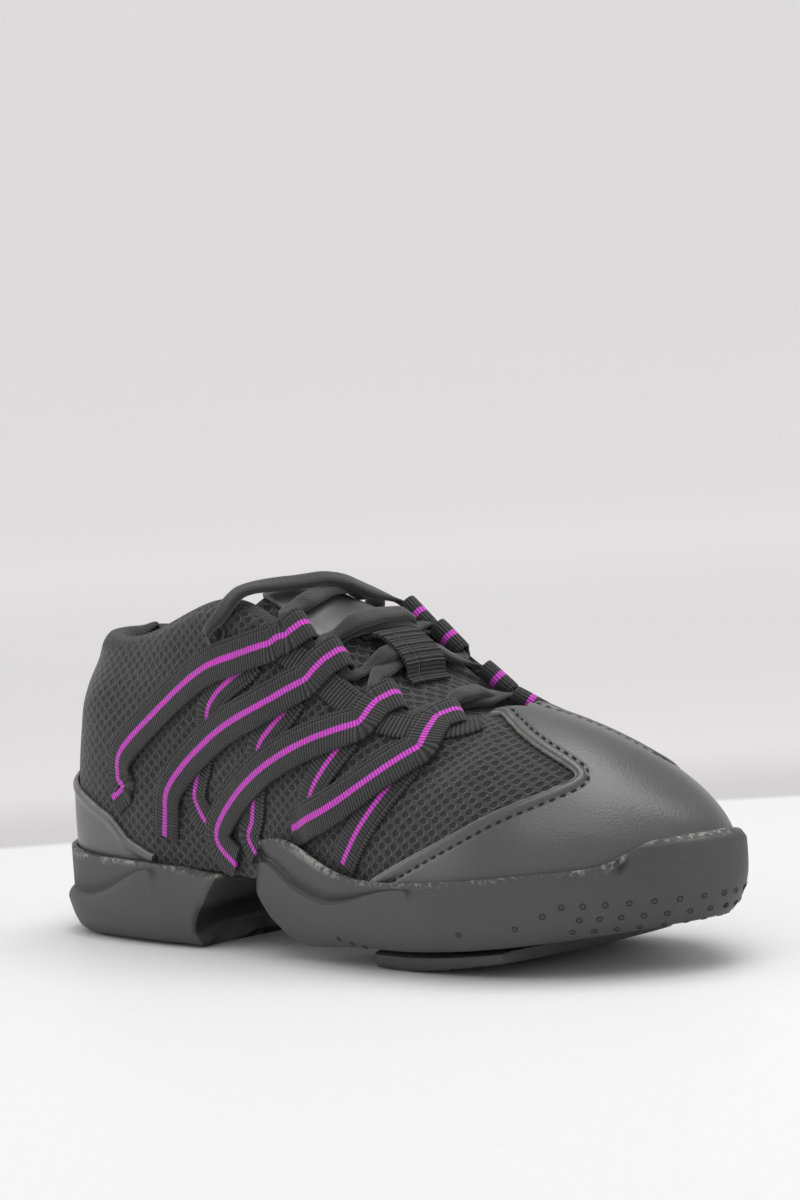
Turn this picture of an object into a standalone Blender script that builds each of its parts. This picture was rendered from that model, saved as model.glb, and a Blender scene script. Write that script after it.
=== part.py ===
"""Right dance sneaker with a split sole, webbing straps and a leather toe cap.

Metres, +X to the toe, +Y to the inner (medial) side, +Z up. The origin is on the floor under
the middle of the shoe. Sections hold shares of the named sizes: along of LENGTH, across of
half of BALL_WIDTH, heights of SOLE_EDGE or INSTEP.
"""
import bpy
import bmesh
import numpy as np
from collections import namedtuple

MM = 0.001
# Driving sizes
LENGTH = 262 * MM
BALL_WIDTH = 94 * MM
INSTEP = 104 * MM          # highest point of the collar above the floor
SOLE_EDGE = 26 * MM        # height of the upper's lower edge at the heel
GAP = 0.35 * MM            # clearance between pieces that touch
WALL = 2.0 * MM            # upper's wall
COLLAR_PAD = 3.0 * MM      # extra wall of the padded collar
LEATHER = 1.0 * MM
WEBBING = 0.8 * MM
STRAP_WIDTH = 11.5 * MM
STAY_WIDTH = 10.5 * MM
EYESTAY_WIDTH = 8.0 * MM
LACE_WIDTH = 6.0 * MM
LACE_THICK = 3.0 * MM
LOOP_CLEAR = 0.6 * MM      # room for the lace in a loop
EYELET_OUTER = 4.7 * MM    # radius
EYELET_HOLE = 2.6 * MM     # radius
EYELET_RISE = 0.9 * MM
INSOLE_THICK = 4.0 * MM
TONGUE_THICK = 3.0 * MM
PAD_THICK = 6.0 * MM       # tread pad below the forefoot unit
LIP_THICK = 1.8 * MM       # sole wall beside the upper
STEP_DEPTH = 1.4 * MM      # recess of the crescent panels
HEEL_FRONT = 92 * MM       # front of the heel unit, measured from the heel
LOBE_REAR = 114 * MM       # rear of the forefoot unit's lobes, measured from the heel

HALF = BALL_WIDTH / 2
Section = namedtuple(
    "Section", "name along lateral medial base belly rise top_along top_across ridge top"
    " inner_top crown fall lean lip")
# One row for each column of the upper, from the heel's centre to the toe's centre. Base is
# where the upper meets the sole, top is its collar, throat or vamp ridge, and inner_top is
# the top's height on the medial side.
SECTIONS = [
    Section("heel", .021, 0, 0, 1.00, .01, .34, .088, 0, 0, .905, .905, .30, .12, 0, 1.08),
    Section("heel_turn", .036, .30, .31, 1.00, .02, .34, .097, .20, 0, .903, .903, .29, .12, 0, 1.07),
    Section("heel_side", .080, .515, .51, .98, .03, .35, .128, .35, 0, .893, .89, .25, .16, 0, 1.03),
    Section("counter", .152, .61, .58, .96, .05, .35, .178, .43, 0, .893, .88, .19, .22, 0, .99),
    Section("collar", .230, .655, .58, .95, .06, .35, .238, .49, 0, .925, .90, .14, .28, 0, .98),
    Section("waist", .300, .655, .56, .93, .07, .35, .306, .55, 0, .977, .915, .10, .28, 0, .93),
    Section("quarter", .368, .68, .555, .90, .08, .35, .376, .59, 0, 1.00, .93, .10, .26, 0, .93),
    Section("throat_top", .436, .745, .60, .88, .08, .35, .444, .59, 0, .945, .92, .15, .24, 0, 1.30),
    Section("throat_high", .506, .82, .68, .86, .07, .36, .512, .565, 0, .850, .85, .20, .24, 0, 1.42),
    Section("throat_mid", .580, .895, .78, .85, .06, .38, .584, .555, 0, .740, .745, .24, .22, 0, 1.16),
    Section("throat_low", .656, .935, .87, .86, .05, .40, .658, .455, 0, .680, .680, .28, .16, 0, 1.05),
    Section("throat_end", .732, .940, .91, .90, .04, .42, .714, .23, 0, .678, .678, .30, .06, .010, 1.08),
    Section("vamp", .806, .885, .89, .97, .04, .44, .733, 0, 0, .685, .685, .40, 0, .030, 1.14),
    Section("toe_box", .876, .70, .75, 1.05, .03, .46, .806, 0, .01, .630, .630, .38, 0, .030, 1.20),
    Section("toe_turn", .942, .36, .47, 1.14, .03, .46, .878, 0, .07, .545, .545, .28, 0, .028, 1.25),
    Section("toe", .977, -.14, .14, 1.20, .03, .46, .918, 0, .12, .480, .480, 0, 0, .026, 1.27),
]
TOE = len(SECTIONS) - 1
RIDGE = [row.name for row in SECTIONS].index("vamp")
STATIONS = 2 * TOE


def spline(values, closed=True):
    """Cubic spline through values at whole numbers; returns a function of an array."""
    values = np.asarray(values, float)
    count = len(values)
    matrix = np.zeros((count, count))
    right = np.zeros(count)
    for i in range(count):
        if closed or 0 < i < count - 1:
            before, after = (i - 1) % count, (i + 1) % count
            matrix[i, before] += 1
            matrix[i, i] += 4
            matrix[i, after] += 1
            right[i] = 6 * (values[before] - 2 * values[i] + values[after])
        else:
            matrix[i, i] = 1
    bend = np.linalg.solve(matrix, right)

    def at(u):
        u = np.asarray(u, float)
        u = np.mod(u, count) if closed else np.clip(u, 0, count - 1)
        low = np.minimum(np.floor(u).astype(int), count - (1 if closed else 2))
        high = (low + 1) % count
        b = u - low
        a = 1 - b
        return (a * values[low] + b * values[high]
                + ((a ** 3 - a) * bend[low] + (b ** 3 - b) * bend[high]) / 6)
    return at


def around(lateral, medial=None):
    """A closed spline whose first half runs down the lateral side and second half back."""
    medial = lateral if medial is None else medial
    return spline(list(lateral) + list(medial)[-2:0:-1])


def column(name):
    return np.array([getattr(row, name) for row in SECTIONS], float)


BASE_X = around(column("along") * LENGTH)
BASE_Y = around(-column("lateral") * HALF, column("medial") * HALF)
BASE_Z = around(column("base") * SOLE_EDGE)
TOP_X = around(column("top_along") * LENGTH)
TOP_Z = around(column("top") * INSTEP, column("inner_top") * INSTEP)
RIDGE_Y = around(column("ridge") * HALF)
TOP_ACROSS = spline(column("top_across")[:RIDGE + 1] * HALF, closed=False)
FALL = spline(column("fall")[:RIDGE + 1], closed=False)
CROWN = around(-column("crown") * HALF, column("crown") * HALF)
LEAN = around(column("lean") * LENGTH)
BELLY = around(column("belly") * HALF)
RISE = around(column("rise"))
LIP = around(column("lip") * SOLE_EDGE)


def stack(*parts):
    return np.stack(np.broadcast_arrays(*parts), axis=-1)


def folded(u):
    """How far u lies from the heel's centre, whichever side it is on."""
    u = np.mod(np.asarray(u, float), STATIONS)
    return np.minimum(u, STATIONS - u)


def side_of(u):
    return np.where(np.mod(u, STATIONS) < TOE, -1.0, 1.0)


def base(u):
    return stack(BASE_X(u), BASE_Y(u), BASE_Z(u))


def outward(u):
    """Level direction that points out of the shoe at u."""
    step = base(np.asarray(u) + .05) - base(np.asarray(u) - .05)
    out = stack(step[..., 1], -step[..., 0], 0 * step[..., 0])
    return out / np.linalg.norm(out, axis=-1, keepdims=True)


def form(u, v):
    """Outer surface of the upper: u runs round the shoe, v from the sole to the topline."""
    u, v = np.broadcast_arrays(np.asarray(u, float), np.asarray(v, float))
    near = folded(u)
    foot = base(u)
    across = np.where(near < RIDGE, TOP_ACROSS(near), 0.0)
    top = stack(TOP_X(u), RIDGE_Y(u) + side_of(u) * across, TOP_Z(u))
    height = (top - foot)[..., 2]
    out = outward(u)
    low = foot + out * BELLY(u)[..., None]
    low[..., 2] += RISE(u) * height
    on_ridge = np.clip(near - RIDGE + 1, 0, 1)
    ahead = np.minimum(near, TOE - .02)
    run = TOP_X(ahead + .02) - TOP_X(ahead - .02)
    slope = np.where(near > RIDGE - 1, (TOP_Z(ahead + .02) - TOP_Z(ahead - .02)) / np.where(
        np.abs(run) > 1e-9, run, 1e-9), 0)
    slope = np.clip(slope, -1.6, 0)
    lean = LEAN(u)
    turn = np.clip((near - 1.5) / 2, 0, 1)[..., None]
    crown = CROWN(u)
    level = stack(0 * crown, crown, 0 * crown) * turn + out * np.abs(crown)[..., None] * (1 - turn)
    high = top + level
    high[..., 0] += lean
    drop = np.where(near < RIDGE, FALL(near) * height, 0.0)
    high[..., 2] += on_ridge * slope * lean - drop
    v = v[..., None]
    return ((1 - v) ** 3 * foot + 3 * v * (1 - v) ** 2 * low
            + 3 * v ** 2 * (1 - v) * high + v ** 3 * top)


def normal(u, v):
    """Outward normal of the form."""
    v = np.clip(np.asarray(v, float), .01, .985)
    along = form(np.asarray(u) + .02, v) - form(np.asarray(u) - .02, v)
    up = form(u, v + .01) - form(u, v - .01)
    out = np.cross(along, up)
    return out / np.maximum(np.linalg.norm(out, axis=-1, keepdims=True), 1e-12)


def lifted(u, v, offset):
    return form(u, v) + normal(u, v) * np.asarray(offset)[..., None]


def level_v(u, z):
    """v at which the form reaches the height z."""
    u, z = np.broadcast_arrays(np.asarray(u, float), np.asarray(z, float))
    low, high = np.zeros(u.shape), np.full(u.shape, .6)
    for _ in range(30):
        middle = (low + high) / 2
        under = form(u, middle)[..., 2] < z
        low = np.where(under, middle, low)
        high = np.where(under, high, middle)
    return (low + high) / 2


def station_at(x, side):
    """u on one side of the shoe where the upper's lower edge passes x."""
    x = np.asarray(x, float)
    low, high = np.full(x.shape, .5), np.full(x.shape, TOE - .5)
    for _ in range(30):
        middle = (low + high) / 2
        under = BASE_X(middle) < x
        low = np.where(under, middle, low)
        high = np.where(under, high, middle)
    return (low + high) / 2 if side < 0 else STATIONS - (low + high) / 2


def wall_at(u, v):
    """The upper's wall, thicker where the collar is padded."""
    return WALL + COLLAR_PAD * smooth(v, .55, .95) * smooth(-folded(u), -8, -6.5)


def below_top(u, distance):
    """v at a distance below the topline, measured down the form."""
    steps = np.linspace(1, .5, 61)
    u = np.atleast_1d(np.asarray(u, float))
    found = np.empty(u.shape)
    for i, here in enumerate(u):
        line = form(here, steps)
        run = np.append(0, np.cumsum(np.linalg.norm(np.diff(line, axis=0), axis=1)))
        found[i] = np.interp(distance, run, steps)
    return found


def place_on(target, u, v, turns=12):
    """u and v of the form's point that lies nearest to a target, from a first guess."""
    u, v = float(u), float(v)
    for _ in range(turns):
        here = form(u, v)
        along = (form(u + .01, v) - form(u - .01, v)) / .02
        up = (form(u, v + .005) - form(u, v - .005)) / .01
        step = np.linalg.lstsq(np.stack([along, up], axis=1), target - here, rcond=None)[0]
        u += float(np.clip(step[0], -.6, .6))
        v += float(np.clip(step[1], -.1, .1))
    return u, v


def side_place(along, height, side):
    """u and v of the lateral form's point at a length and a height, mirrored for the other."""
    near, v = float(station_at(np.array(along), -1)), .5
    for _ in range(25):
        here = form(near, v)
        run = (form(near + .01, v) - form(near - .01, v)) / .02
        up = (form(near, v + .005) - form(near, v - .005)) / .01
        slopes = np.array([[run[0], up[0]], [run[2], up[2]]])
        move = np.linalg.solve(slopes, [along - here[0], height - here[2]])
        near += float(np.clip(move[0], -.5, .5))
        v = float(np.clip(v + np.clip(move[1], -.1, .1), .005, .995))
    return (near if side < 0 else STATIONS - near), v


def smooth(value, start, end):
    t = np.clip((np.asarray(value, float) - start) / (end - start), 0, 1)
    return t * t * (3 - 2 * t)


def material(name, colour, roughness):
    made = bpy.data.materials.new(name)
    made.use_nodes = True
    shader = made.node_tree.nodes["Principled BSDF"]
    shader.inputs["Base Color"].default_value = (*colour, 1)
    shader.inputs["Roughness"].default_value = roughness
    made.diffuse_color = (*colour, 1)
    return made


def add(name, points, faces, finish, merge=False):
    """Make one closed solid, its faces turned outwards."""
    mesh = bpy.data.meshes.new(name)
    mesh.from_pydata([tuple(float(c) for c in point) for point in points], [],
                     [tuple(int(i) for i in face) for face in faces])
    work = bmesh.new()
    work.from_mesh(mesh)
    if merge:
        bmesh.ops.remove_doubles(work, verts=work.verts, dist=1e-6)
    loose = [vert for vert in work.verts if not vert.link_faces]
    bmesh.ops.delete(work, geom=loose, context="VERTS")
    bmesh.ops.triangulate(work, faces=work.faces)
    bmesh.ops.recalc_face_normals(work, faces=work.faces)
    work.to_mesh(mesh)
    work.free()
    piece = bpy.data.objects.new(name, mesh)
    bpy.context.collection.objects.link(piece)
    mesh.materials.append(material(name, *finish))
    mesh.shade_smooth()
    mesh.set_sharp_from_angle(angle=np.radians(40))
    return piece


def grid(rows, columns, wrap=False):
    """Quads of a grid of points that are numbered row by row."""
    faces = []
    for row in range(rows - 1):
        for one in range(columns if wrap else columns - 1):
            two = (one + 1) % columns
            faces.append((row * columns + one, row * columns + two,
                          (row + 1) * columns + two, (row + 1) * columns + one))
    return faces


def shell(outer, inner, faces):
    """Close the space between two sheets that have the same faces."""
    count = len(outer)
    sides = {}
    for face in faces:
        for a, b in zip(face, face[1:] + face[:1]):
            sides.setdefault(frozenset((a, b)), []).append((a, b))
    closed = list(faces) + [tuple(i + count for i in reversed(face)) for face in faces]
    closed += [(pair[0][1], pair[0][0], pair[0][0] + count, pair[0][1] + count)
               for pair in sides.values() if len(pair) == 1]
    return np.concatenate([outer, inner]), closed


def sheet_normals(points, faces):
    total = np.zeros_like(points)
    for face in faces:
        corners = points[list(face)]
        out = sum(np.cross(corners[i] - corners[0], corners[i + 1] - corners[0])
                  for i in range(1, len(face) - 1))
        total[list(face)] += out
    return total / np.maximum(np.linalg.norm(total, axis=1, keepdims=True), 1e-12)


def rings_body(rings):
    """Join rings that run heel, lateral, toe or front, medial, and cap both ends by pairs."""
    count = len(rings[0])
    points = np.concatenate(rings)
    faces = grid(len(rings), count, wrap=True)
    for start in (0, (len(rings) - 1) * count):
        half = count // 2
        faces.append((start, start + 1, start + count - 1))
        faces += [(start + k, start + k + 1, start + count - k - 1, start + count - k)
                  for k in range(1, half - 1)]
        faces.append((start + half - 1, start + half, start + half + 1))
    return points, faces


MESH = ((.022, .022, .024), .85)
LEATHER_FINISH = ((.045, .045, .047), .45)
RUBBER = ((.06, .06, .062), .6)
WEB = ((.02, .02, .022), .8)

UPPER_STEP = .4            # stations between the upper's columns
UPPER_ROWS = (0, .08, .19, .32, .46, .60, .74, .88, 1)
WAIST_FROM = HEEL_FRONT + 1.5 * MM
WAIST_TO = LOBE_REAR + 11 * MM


def make_upper():
    """Hollow shell from the form, closed below only at the waist."""
    side = np.append(np.arange(0, TOE, UPPER_STEP), TOE)
    ring = np.concatenate([side, STATIONS - side[-2:0:-1]])
    count = len(ring)
    u, v = np.meshgrid(ring, UPPER_ROWS)
    outer = form(u, v).reshape(-1, 3)
    place = np.arange(len(outer))
    top = (len(UPPER_ROWS) - 1) * count
    for k in range(1, count // 2):
        if side[k] >= RIDGE - 1e-9:
            place[top + count - k] = top + k
    faces = [tuple(place[i] for i in face) for face in grid(len(UPPER_ROWS), count, wrap=True)]
    thick = wall_at(u, v).ravel()
    under = [k for k in range(1, count // 2) if WAIST_FROM < BASE_X(side[k]) < WAIST_TO]
    middle = {}
    for k in under:
        left, right = outer[k], outer[count - k]
        middle[k] = len(outer)
        outer = np.concatenate([outer, [(left + right) / 2]])
        thick = np.append(thick, WALL)
    for a, b in zip(under, under[1:]):
        faces.append((b, a, middle[a], middle[b]))
        faces.append((middle[b], middle[a], count - a, count - b))
    lean = sheet_normals(outer, faces)
    flat = [i for k in under for i in (k, count - k, middle[k])]
    inner = outer - lean * thick[:, None]
    for i in flat:
        inner[i, 2] = outer[i, 2] + WALL
    points, closed = shell(outer, inner, faces)
    return add("upper", points, closed, MESH)


def across(start, end, x, z, scoop, margin=1 / 6):
    """Points from the lateral to the medial side at x, hollowed or bulged by scoop."""
    t = np.linspace(margin, 1 - margin, ACROSS)
    return stack(x + scoop * 4 * t * (1 - t), start + (end - start) * t, z + 0 * t)


# Side profile of the heel unit, floor to platform: how far out of the upper's lower edge, how
# high between floor and lip, where its front stands and how deep the front is scooped.
HeelLevel = namedtuple("HeelLevel", "name out height front scoop")
HEEL_LEVELS = [
    HeelLevel("floor", -5.0, 0, 78, 0),
    HeelLevel("edge", -.2, 0, 80, -3),
    HeelLevel("edge_round", 2.8, .07, 82, -6),
    HeelLevel("side_low", 4.8, .22, 82, -8),
    HeelLevel("side", 6.1, .42, 84, -8),
]
# Side profile of the forefoot unit, in the same way; rear is where its lobes begin.
FORE_LEVELS = [
    HeelLevel("under", -9.0, 0, 18, 0),
    HeelLevel("edge", -3.0, .02, 14, 4),
    HeelLevel("edge_round", .2, .14, 8, 8),
    HeelLevel("side_low", 2.3, .34, 2.5, 10),
    HeelLevel("side", 3.3, .52, 0, 10),
]
ACROSS = 5                 # points across the closed end of a sole unit
HEEL_COLUMNS = 15          # columns on each side of a sole unit
FORE_COLUMNS = 26
TOE_SPRING = 9 * MM        # rise of the forefoot's underside at the toe
LOBE_SAG = 2 * MM          # how far the lobes reach below the tread pad's top
SPRING_FROM = 176 * MM     # where the toe spring begins, measured from the heel
CRESCENT = .50             # lowest point of the heel's crescent, share of the lip height
BUMPER_RISE = 6 * MM       # step of the lip at the toe bumper
LOBE_FLARE = .9 * MM
TOE_THICK = 2.8 * MM       # extra thickness of the toe bumper
BUMPER_INNER_AT = 14.35    # and on the medial side
BUMPER_AT = 13.85          # station of that step
PLATFORM = WALL            # the footbed rises inside the upper's wall


def lip_height(u):
    at = np.where(side_of(u) < 0, BUMPER_AT, BUMPER_INNER_AT)
    return LIP(u) + BUMPER_RISE * smooth(folded(u) - at, -.2, .2)


def toe_extra(u):
    """How much thicker the sole's side is round the toe."""
    return TOE_THICK * smooth(folded(u), 13.7, 14.9)


def lobe_extra(u):
    """How much further the forefoot unit's rear lobes stand out."""
    near = folded(u)
    return LOBE_FLARE * (1 - smooth(near, 9.4, 10.6))


def overlay_room(u):
    """Clearance for the leather between the sole's lip and the upper."""
    near = folded(u)
    heel = 1 - smooth(near, 4.2, 4.9)
    front = smooth(near, 6.2, 7.0)
    return GAP + (LEATHER + CAP_GAP + .2 * MM) * np.maximum(heel, front)


def underside(x):
    """Height of the forefoot unit's underside, with its toe spring."""
    spring = np.clip((x - SPRING_FROM) / (LENGTH - SPRING_FROM), 0, 1)
    bulge = 1 - smooth(x, LOBE_REAR + 18 * MM, LOBE_REAR + 46 * MM)
    return PAD_THICK - LOBE_SAG * bulge + TOE_SPRING * spring ** 1.4


def bulge(u, at):
    """How far the form stands out past a straight line from its foot to the height at."""
    share = np.linspace(.15, .85, 6)[:, None]
    foot, out = base(u), outward(u)
    lip = form(u, at) - foot
    spots = form(np.broadcast_to(u, (6, len(u))), share * at) - foot
    rise = spots[..., 2] / lip[:, 2]
    past = np.sum(spots * out, axis=-1) - np.sum(lip * out, axis=-1) * rise
    return np.maximum(np.max(past / (1 - rise), axis=0), 0)


def lip_rings(u, ahead):
    """The rings that both sole units share: lip, its inner wall, bed and raised footbed.

    Ahead is how far the bed's open end moves from ring to ring.
    """
    half = (len(u) + 1) // 2
    edge = lip_height(u)
    at = level_v(u, edge)
    room = overlay_room(u)
    out = outward(u)
    foot = room + bulge(u, at)

    def level(reach, rise):
        points = base(u) + out * (reach + 0 * room)[:, None]
        points[:, 2] = BASE_Z(u) + rise
        return points

    def closing(points, shift):
        start, end = points[half - 1], points[half]
        share = np.linspace(0, 1, ACROSS)[:, None]
        line = start + (end - start) * share
        line[:, 0] += shift
        return line

    wall_foot = level(foot, -GAP)
    bed_end = closing(wall_foot, 0)
    rings = []
    for reach in (room + LIP_THICK + toe_extra(u) * .35, room):
        points = form(u, at) + out * reach[:, None]
        points[:, 2] = edge
        rings.append(np.concatenate([points[:half], bed_end, points[half:]]))
    rings.append(np.concatenate([wall_foot[:half], bed_end, wall_foot[half:]]))
    for reach, rise, shift in ((-(WALL + .4 * MM), -GAP, .2), (-(WALL + .8 * MM), PLATFORM, 1)):
        points = level(reach, rise)
        rings.append(np.concatenate([points[:half], closing(points, shift * ahead),
                                     points[half:]]))
    return rings


def make_heel_unit():
    """Heel block: rounded floor edge, flared side, recessed crescent, lip and footbed."""
    def stations(front):
        end = station_at(front, -1)
        side = end * np.arange(HEEL_COLUMNS + 1) / HEEL_COLUMNS
        other = STATIONS - station_at(front, 1)
        back = other * np.arange(HEEL_COLUMNS, 0, -1) / HEEL_COLUMNS
        return np.concatenate([side, STATIONS - back])

    def closing(ring, front, scoop, z):
        half = HEEL_COLUMNS + 1
        return across(ring[half - 1, 1], ring[half, 1], front, z, scoop)

    rings = []
    for level in HEEL_LEVELS:
        u = stations(level.front * MM)
        points = base(u) + outward(u) * level.out * MM
        points[:, 2] = lip_height(u) * level.height
        half = HEEL_COLUMNS + 1
        front = points[half - 1, 0]
        end = closing(points, front, level.scoop * MM, level.height * SOLE_EDGE)
        rings.append(np.concatenate([points[:half], end, points[half:]]))
    u = stations(HEEL_FRONT)
    edge = lip_height(u)
    near = folded(u)
    reach = 1 - smooth(near, 3.0, 4.1)
    low = edge * (CRESCENT + (.94 - CRESCENT) * smooth(near, 2.2, 4.1) ** 1.5)
    half = HEEL_COLUMNS + 1
    for rise, sink in ((-.5 * MM, 0), (.5 * MM, STEP_DEPTH)):
        points = base(u) + outward(u) * (5.4 * MM - sink * reach - 1.2 * MM * (1 - reach))[:, None]
        points[:, 2] = low + rise * reach
        end = closing(points, HEEL_FRONT, -5 * MM, .78 * SOLE_EDGE)
        end[:, 2] += rise
        rings.append(np.concatenate([points[:half], end, points[half:]]))
    rings += lip_rings(u, -2 * MM)
    points, faces = rings_body(rings)
    return add("heel_unit", points, faces, RUBBER, merge=True)


def make_forefoot_unit():
    """Forefoot: lobes at the rear, toe spring, recessed crescent, lip and toe bumper."""
    half = FORE_COLUMNS + 1

    def stations(rear):
        start = station_at(rear, -1)
        other = STATIONS - station_at(rear, 1)
        share = np.arange(FORE_COLUMNS + 1) / FORE_COLUMNS
        side = TOE - (TOE - start) * share
        back = STATIONS - (TOE - (TOE - other) * share)
        return np.concatenate([side, back[:0:-1]])

    def ring(u, out, z, scoop, closing_z):
        points = base(u) + outward(u) * (out + 0 * u)[:, None]
        points[:, 2] = z
        margin = .03 if points[half - 1, 2] > BASE_Z(u[half - 1]) else 1 / 6
        end = across(points[half - 1, 1], points[half, 1], points[half - 1, 0], closing_z,
                     scoop, margin)
        return np.concatenate([points[:half], end, points[half:]])

    rings = []
    for level in FORE_LEVELS:
        u = stations(LOBE_REAR + level.front * MM)
        out = level.out * MM + toe_extra(u) + lobe_extra(u)
        foot = base(u) + outward(u) * out[:, None]
        floor = underside(foot[:, 0])
        z = floor + (lip_height(u) - floor) * level.height
        rings.append(ring(u, out, z, level.scoop * MM, PAD_THICK + level.height * 30 * MM
                          if level.height < .5 else BASE_Z(u[half - 1]) - 2 * MM))
    u = stations(LOBE_REAR + 3 * MM)
    near = folded(u)
    edge = lip_height(u)
    reach = 1 - smooth(near, 9.4, 10.6)
    low = edge * (.62 + .33 * smooth(near, 8.6, 10.6)) + 8 * MM * (1 - smooth(near, 7.2, 8.2))
    low = np.minimum(low, edge - 2 * MM)
    for rise, sink in ((-.5 * MM, 0), (.5 * MM, STEP_DEPTH)):
        out = 3.4 * MM + toe_extra(u) * .9 + lobe_extra(u) - sink * reach
        rings.append(ring(u, out, low + rise * reach, 9 * MM,
                          BASE_Z(u[half - 1]) - 1.2 * MM + rise))
    u = stations(LOBE_REAR + 5 * MM)
    lips = lip_rings(u, 9 * MM)
    platform = smooth(base(u)[:, 0], LOBE_REAR + 12 * MM, LOBE_REAR + 15 * MM)
    lips[-1][:half, 2] = (BASE_Z(u) - GAP + (GAP + PLATFORM) * platform)[:half]
    lips[-1][half:half + ACROSS, 2] = BASE_Z(u[half - 1]) - GAP
    lips[-1][-half + 1:, 2] = (BASE_Z(u) - GAP + (GAP + PLATFORM) * platform)[half:]
    rings += lips
    points, faces = rings_body(rings)
    return add("forefoot_unit", points, faces, RUBBER, merge=True)


def make_insole():
    """Loose footbed inside the upper, over the footbeds and the waist."""
    side = np.append(np.arange(0, TOE, UPPER_STEP), TOE)
    ring = np.concatenate([side, STATIONS - side[-2:0:-1]])
    rings = []
    for inset, rise in ((1.9, 0), (1.5, .35), (1.5, .75), (2.1, 1)):
        points = base(ring) - outward(ring) * (WALL + inset * MM)
        points[:, 2] = BASE_Z(ring) + PLATFORM + 1.4 * GAP + rise * INSOLE_THICK
        rings.append(points)
    points, faces = rings_body(rings)
    return add("insole", points, faces, LEATHER_FINISH)


# Tread pad: how far inside the upper's lower edge, and how high between floor and top.
PAD_LEVELS = ((7.5, 0), (6.3, .12), (5.6, .4), (5.2, 1))
PAD_REAR = 160 * MM        # measured from the heel, along the shoe's middle
PAD_FRONT = 213 * MM
PAD_LIFT = 4.5 * MM        # how far its front edge is raised
PAD_COLUMNS = 20


def make_tread_pad():
    """Tread under the ball: flat on the floor, its front edge raised with the toe spring."""
    start, end = station_at(PAD_REAR, -1), station_at(PAD_FRONT, -1)
    share = np.arange(PAD_COLUMNS + 1) / PAD_COLUMNS
    near = end + (start - end) * share
    u = np.concatenate([near, STATIONS - near[::-1]])
    rings = []
    half = len(near)
    for inset, rise in PAD_LEVELS:
        points = base(u) - outward(u) * inset * MM
        x = points[:, 0]
        lift = PAD_LIFT * np.clip((x - SPRING_FROM) / (PAD_FRONT - SPRING_FROM), 0, 1) ** 1.3
        top = underside(x) - GAP - LOBE_SAG * .25
        points[:, 2] = lift + (top - lift) * rise
        front = np.array([[points[0, 0] + 3 * MM, (points[0, 1] + points[-1, 1]) / 2,
                           points[0, 2]]])
        rear = np.array([[points[half - 1, 0], (points[half - 1, 1] + points[half, 1]) / 2,
                          points[half - 1, 2]]])
        rings.append(np.concatenate([front, points[:half], rear, points[half:]]))
    points, faces = rings_body(rings)
    return add("tread_pad", points, faces, RUBBER)


# Toe cap's rear edge: height along each column, and the length where it crosses it.
CAP_EDGE = ((.01, .624), (.11, .657), (.228, .730), (.283, .770), (.357, .806),
            (.45, .838), (.545, .857), (.61, .861), (.655, .850), (.70, .816),
            (.78, .762), (.87, .735), (1, .7155))
CAP_COLUMNS = 18
CAP_GAP = .65 * MM          # the cap is strongly curved, so it stands a little further off
# Heel counter's front edge: length and height.
COUNTER_EDGE = ((.02, .490), (.034, .480), (.095, .430), (.155, .372), (.186, .310),
                (.223, .274), (.25, .256))
COUNTER_COLUMNS = 11
COUNTER_ROWS = (0, .3, .65, 1)


def column_at(v, x, side):
    """u at which the row v of the form passes x."""
    low, high = 5.0, TOE - .3
    for _ in range(30):
        middle = (low + high) / 2
        if form(middle if side < 0 else STATIONS - middle, v)[0] < x:
            low = middle
        else:
            high = middle
    return (low + high) / 2 if side < 0 else STATIONS - (low + high) / 2


def overlay(name, u, v, offset, thick, finish, welded=False):
    """A sheet over the form between two offsets, from a grid of places."""
    rows, columns = u.shape
    sheets = []
    place = np.arange(rows * columns)
    for reach in (offset + thick, offset):
        points = lifted(u, v, reach + 0 * u).reshape(-1, 3)
        if welded:
            last = (rows - 1) * columns
            for k in range(columns // 2):
                if folded(u[-1, k]) >= RIDGE - 1e-6:
                    a, b = last + k, last + columns - 1 - k
                    place[b] = a
                    points[a] = points[b] = (points[a] + points[b]) / 2
        sheets.append(points)
    faces = [tuple(place[i] for i in face) for face in grid(rows, columns)]
    kept = []
    for face in faces:
        corners = tuple(dict.fromkeys(face))
        if len(corners) > 2:
            kept.append(corners)
    points, closed = shell(sheets[0], sheets[1], kept)
    return add(name, points, closed, finish)


def make_toe_cap():
    u, v = [], []
    for height, along in CAP_EDGE:
        start = column_at(height, along * LENGTH, -1)
        end = column_at(height, along * LENGTH, 1)
        share = np.linspace(0, 1, CAP_COLUMNS + 1)
        near = start + (TOE - start) * share
        far = end + (TOE - end) * share
        u.append(np.concatenate([near, far[-2::-1]]))
        v.append(np.full(len(u[-1]), height))
    return overlay("toe_cap", np.array(u), np.array(v), CAP_GAP, LEATHER, LEATHER_FINISH, True)


def make_heel_counter():
    end = 4.05
    ring = np.linspace(-end, end, 2 * COUNTER_COLUMNS + 1)
    low, high = np.zeros(ring.shape), np.full(ring.shape, .6)
    edge = np.array(COUNTER_EDGE) * [LENGTH, INSTEP]
    for _ in range(30):
        middle = (low + high) / 2
        here = form(ring, middle)
        under = here[:, 2] < np.interp(here[:, 0], edge[:, 0], edge[:, 1])
        low = np.where(under, middle, low)
        high = np.where(under, high, middle)
    u = np.array([ring for _ in COUNTER_ROWS])
    v = np.array([low * row for row in COUNTER_ROWS])
    return overlay("heel_counter", u, v, GAP + .2 * MM, LEATHER, LEATHER_FINISH)


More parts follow.
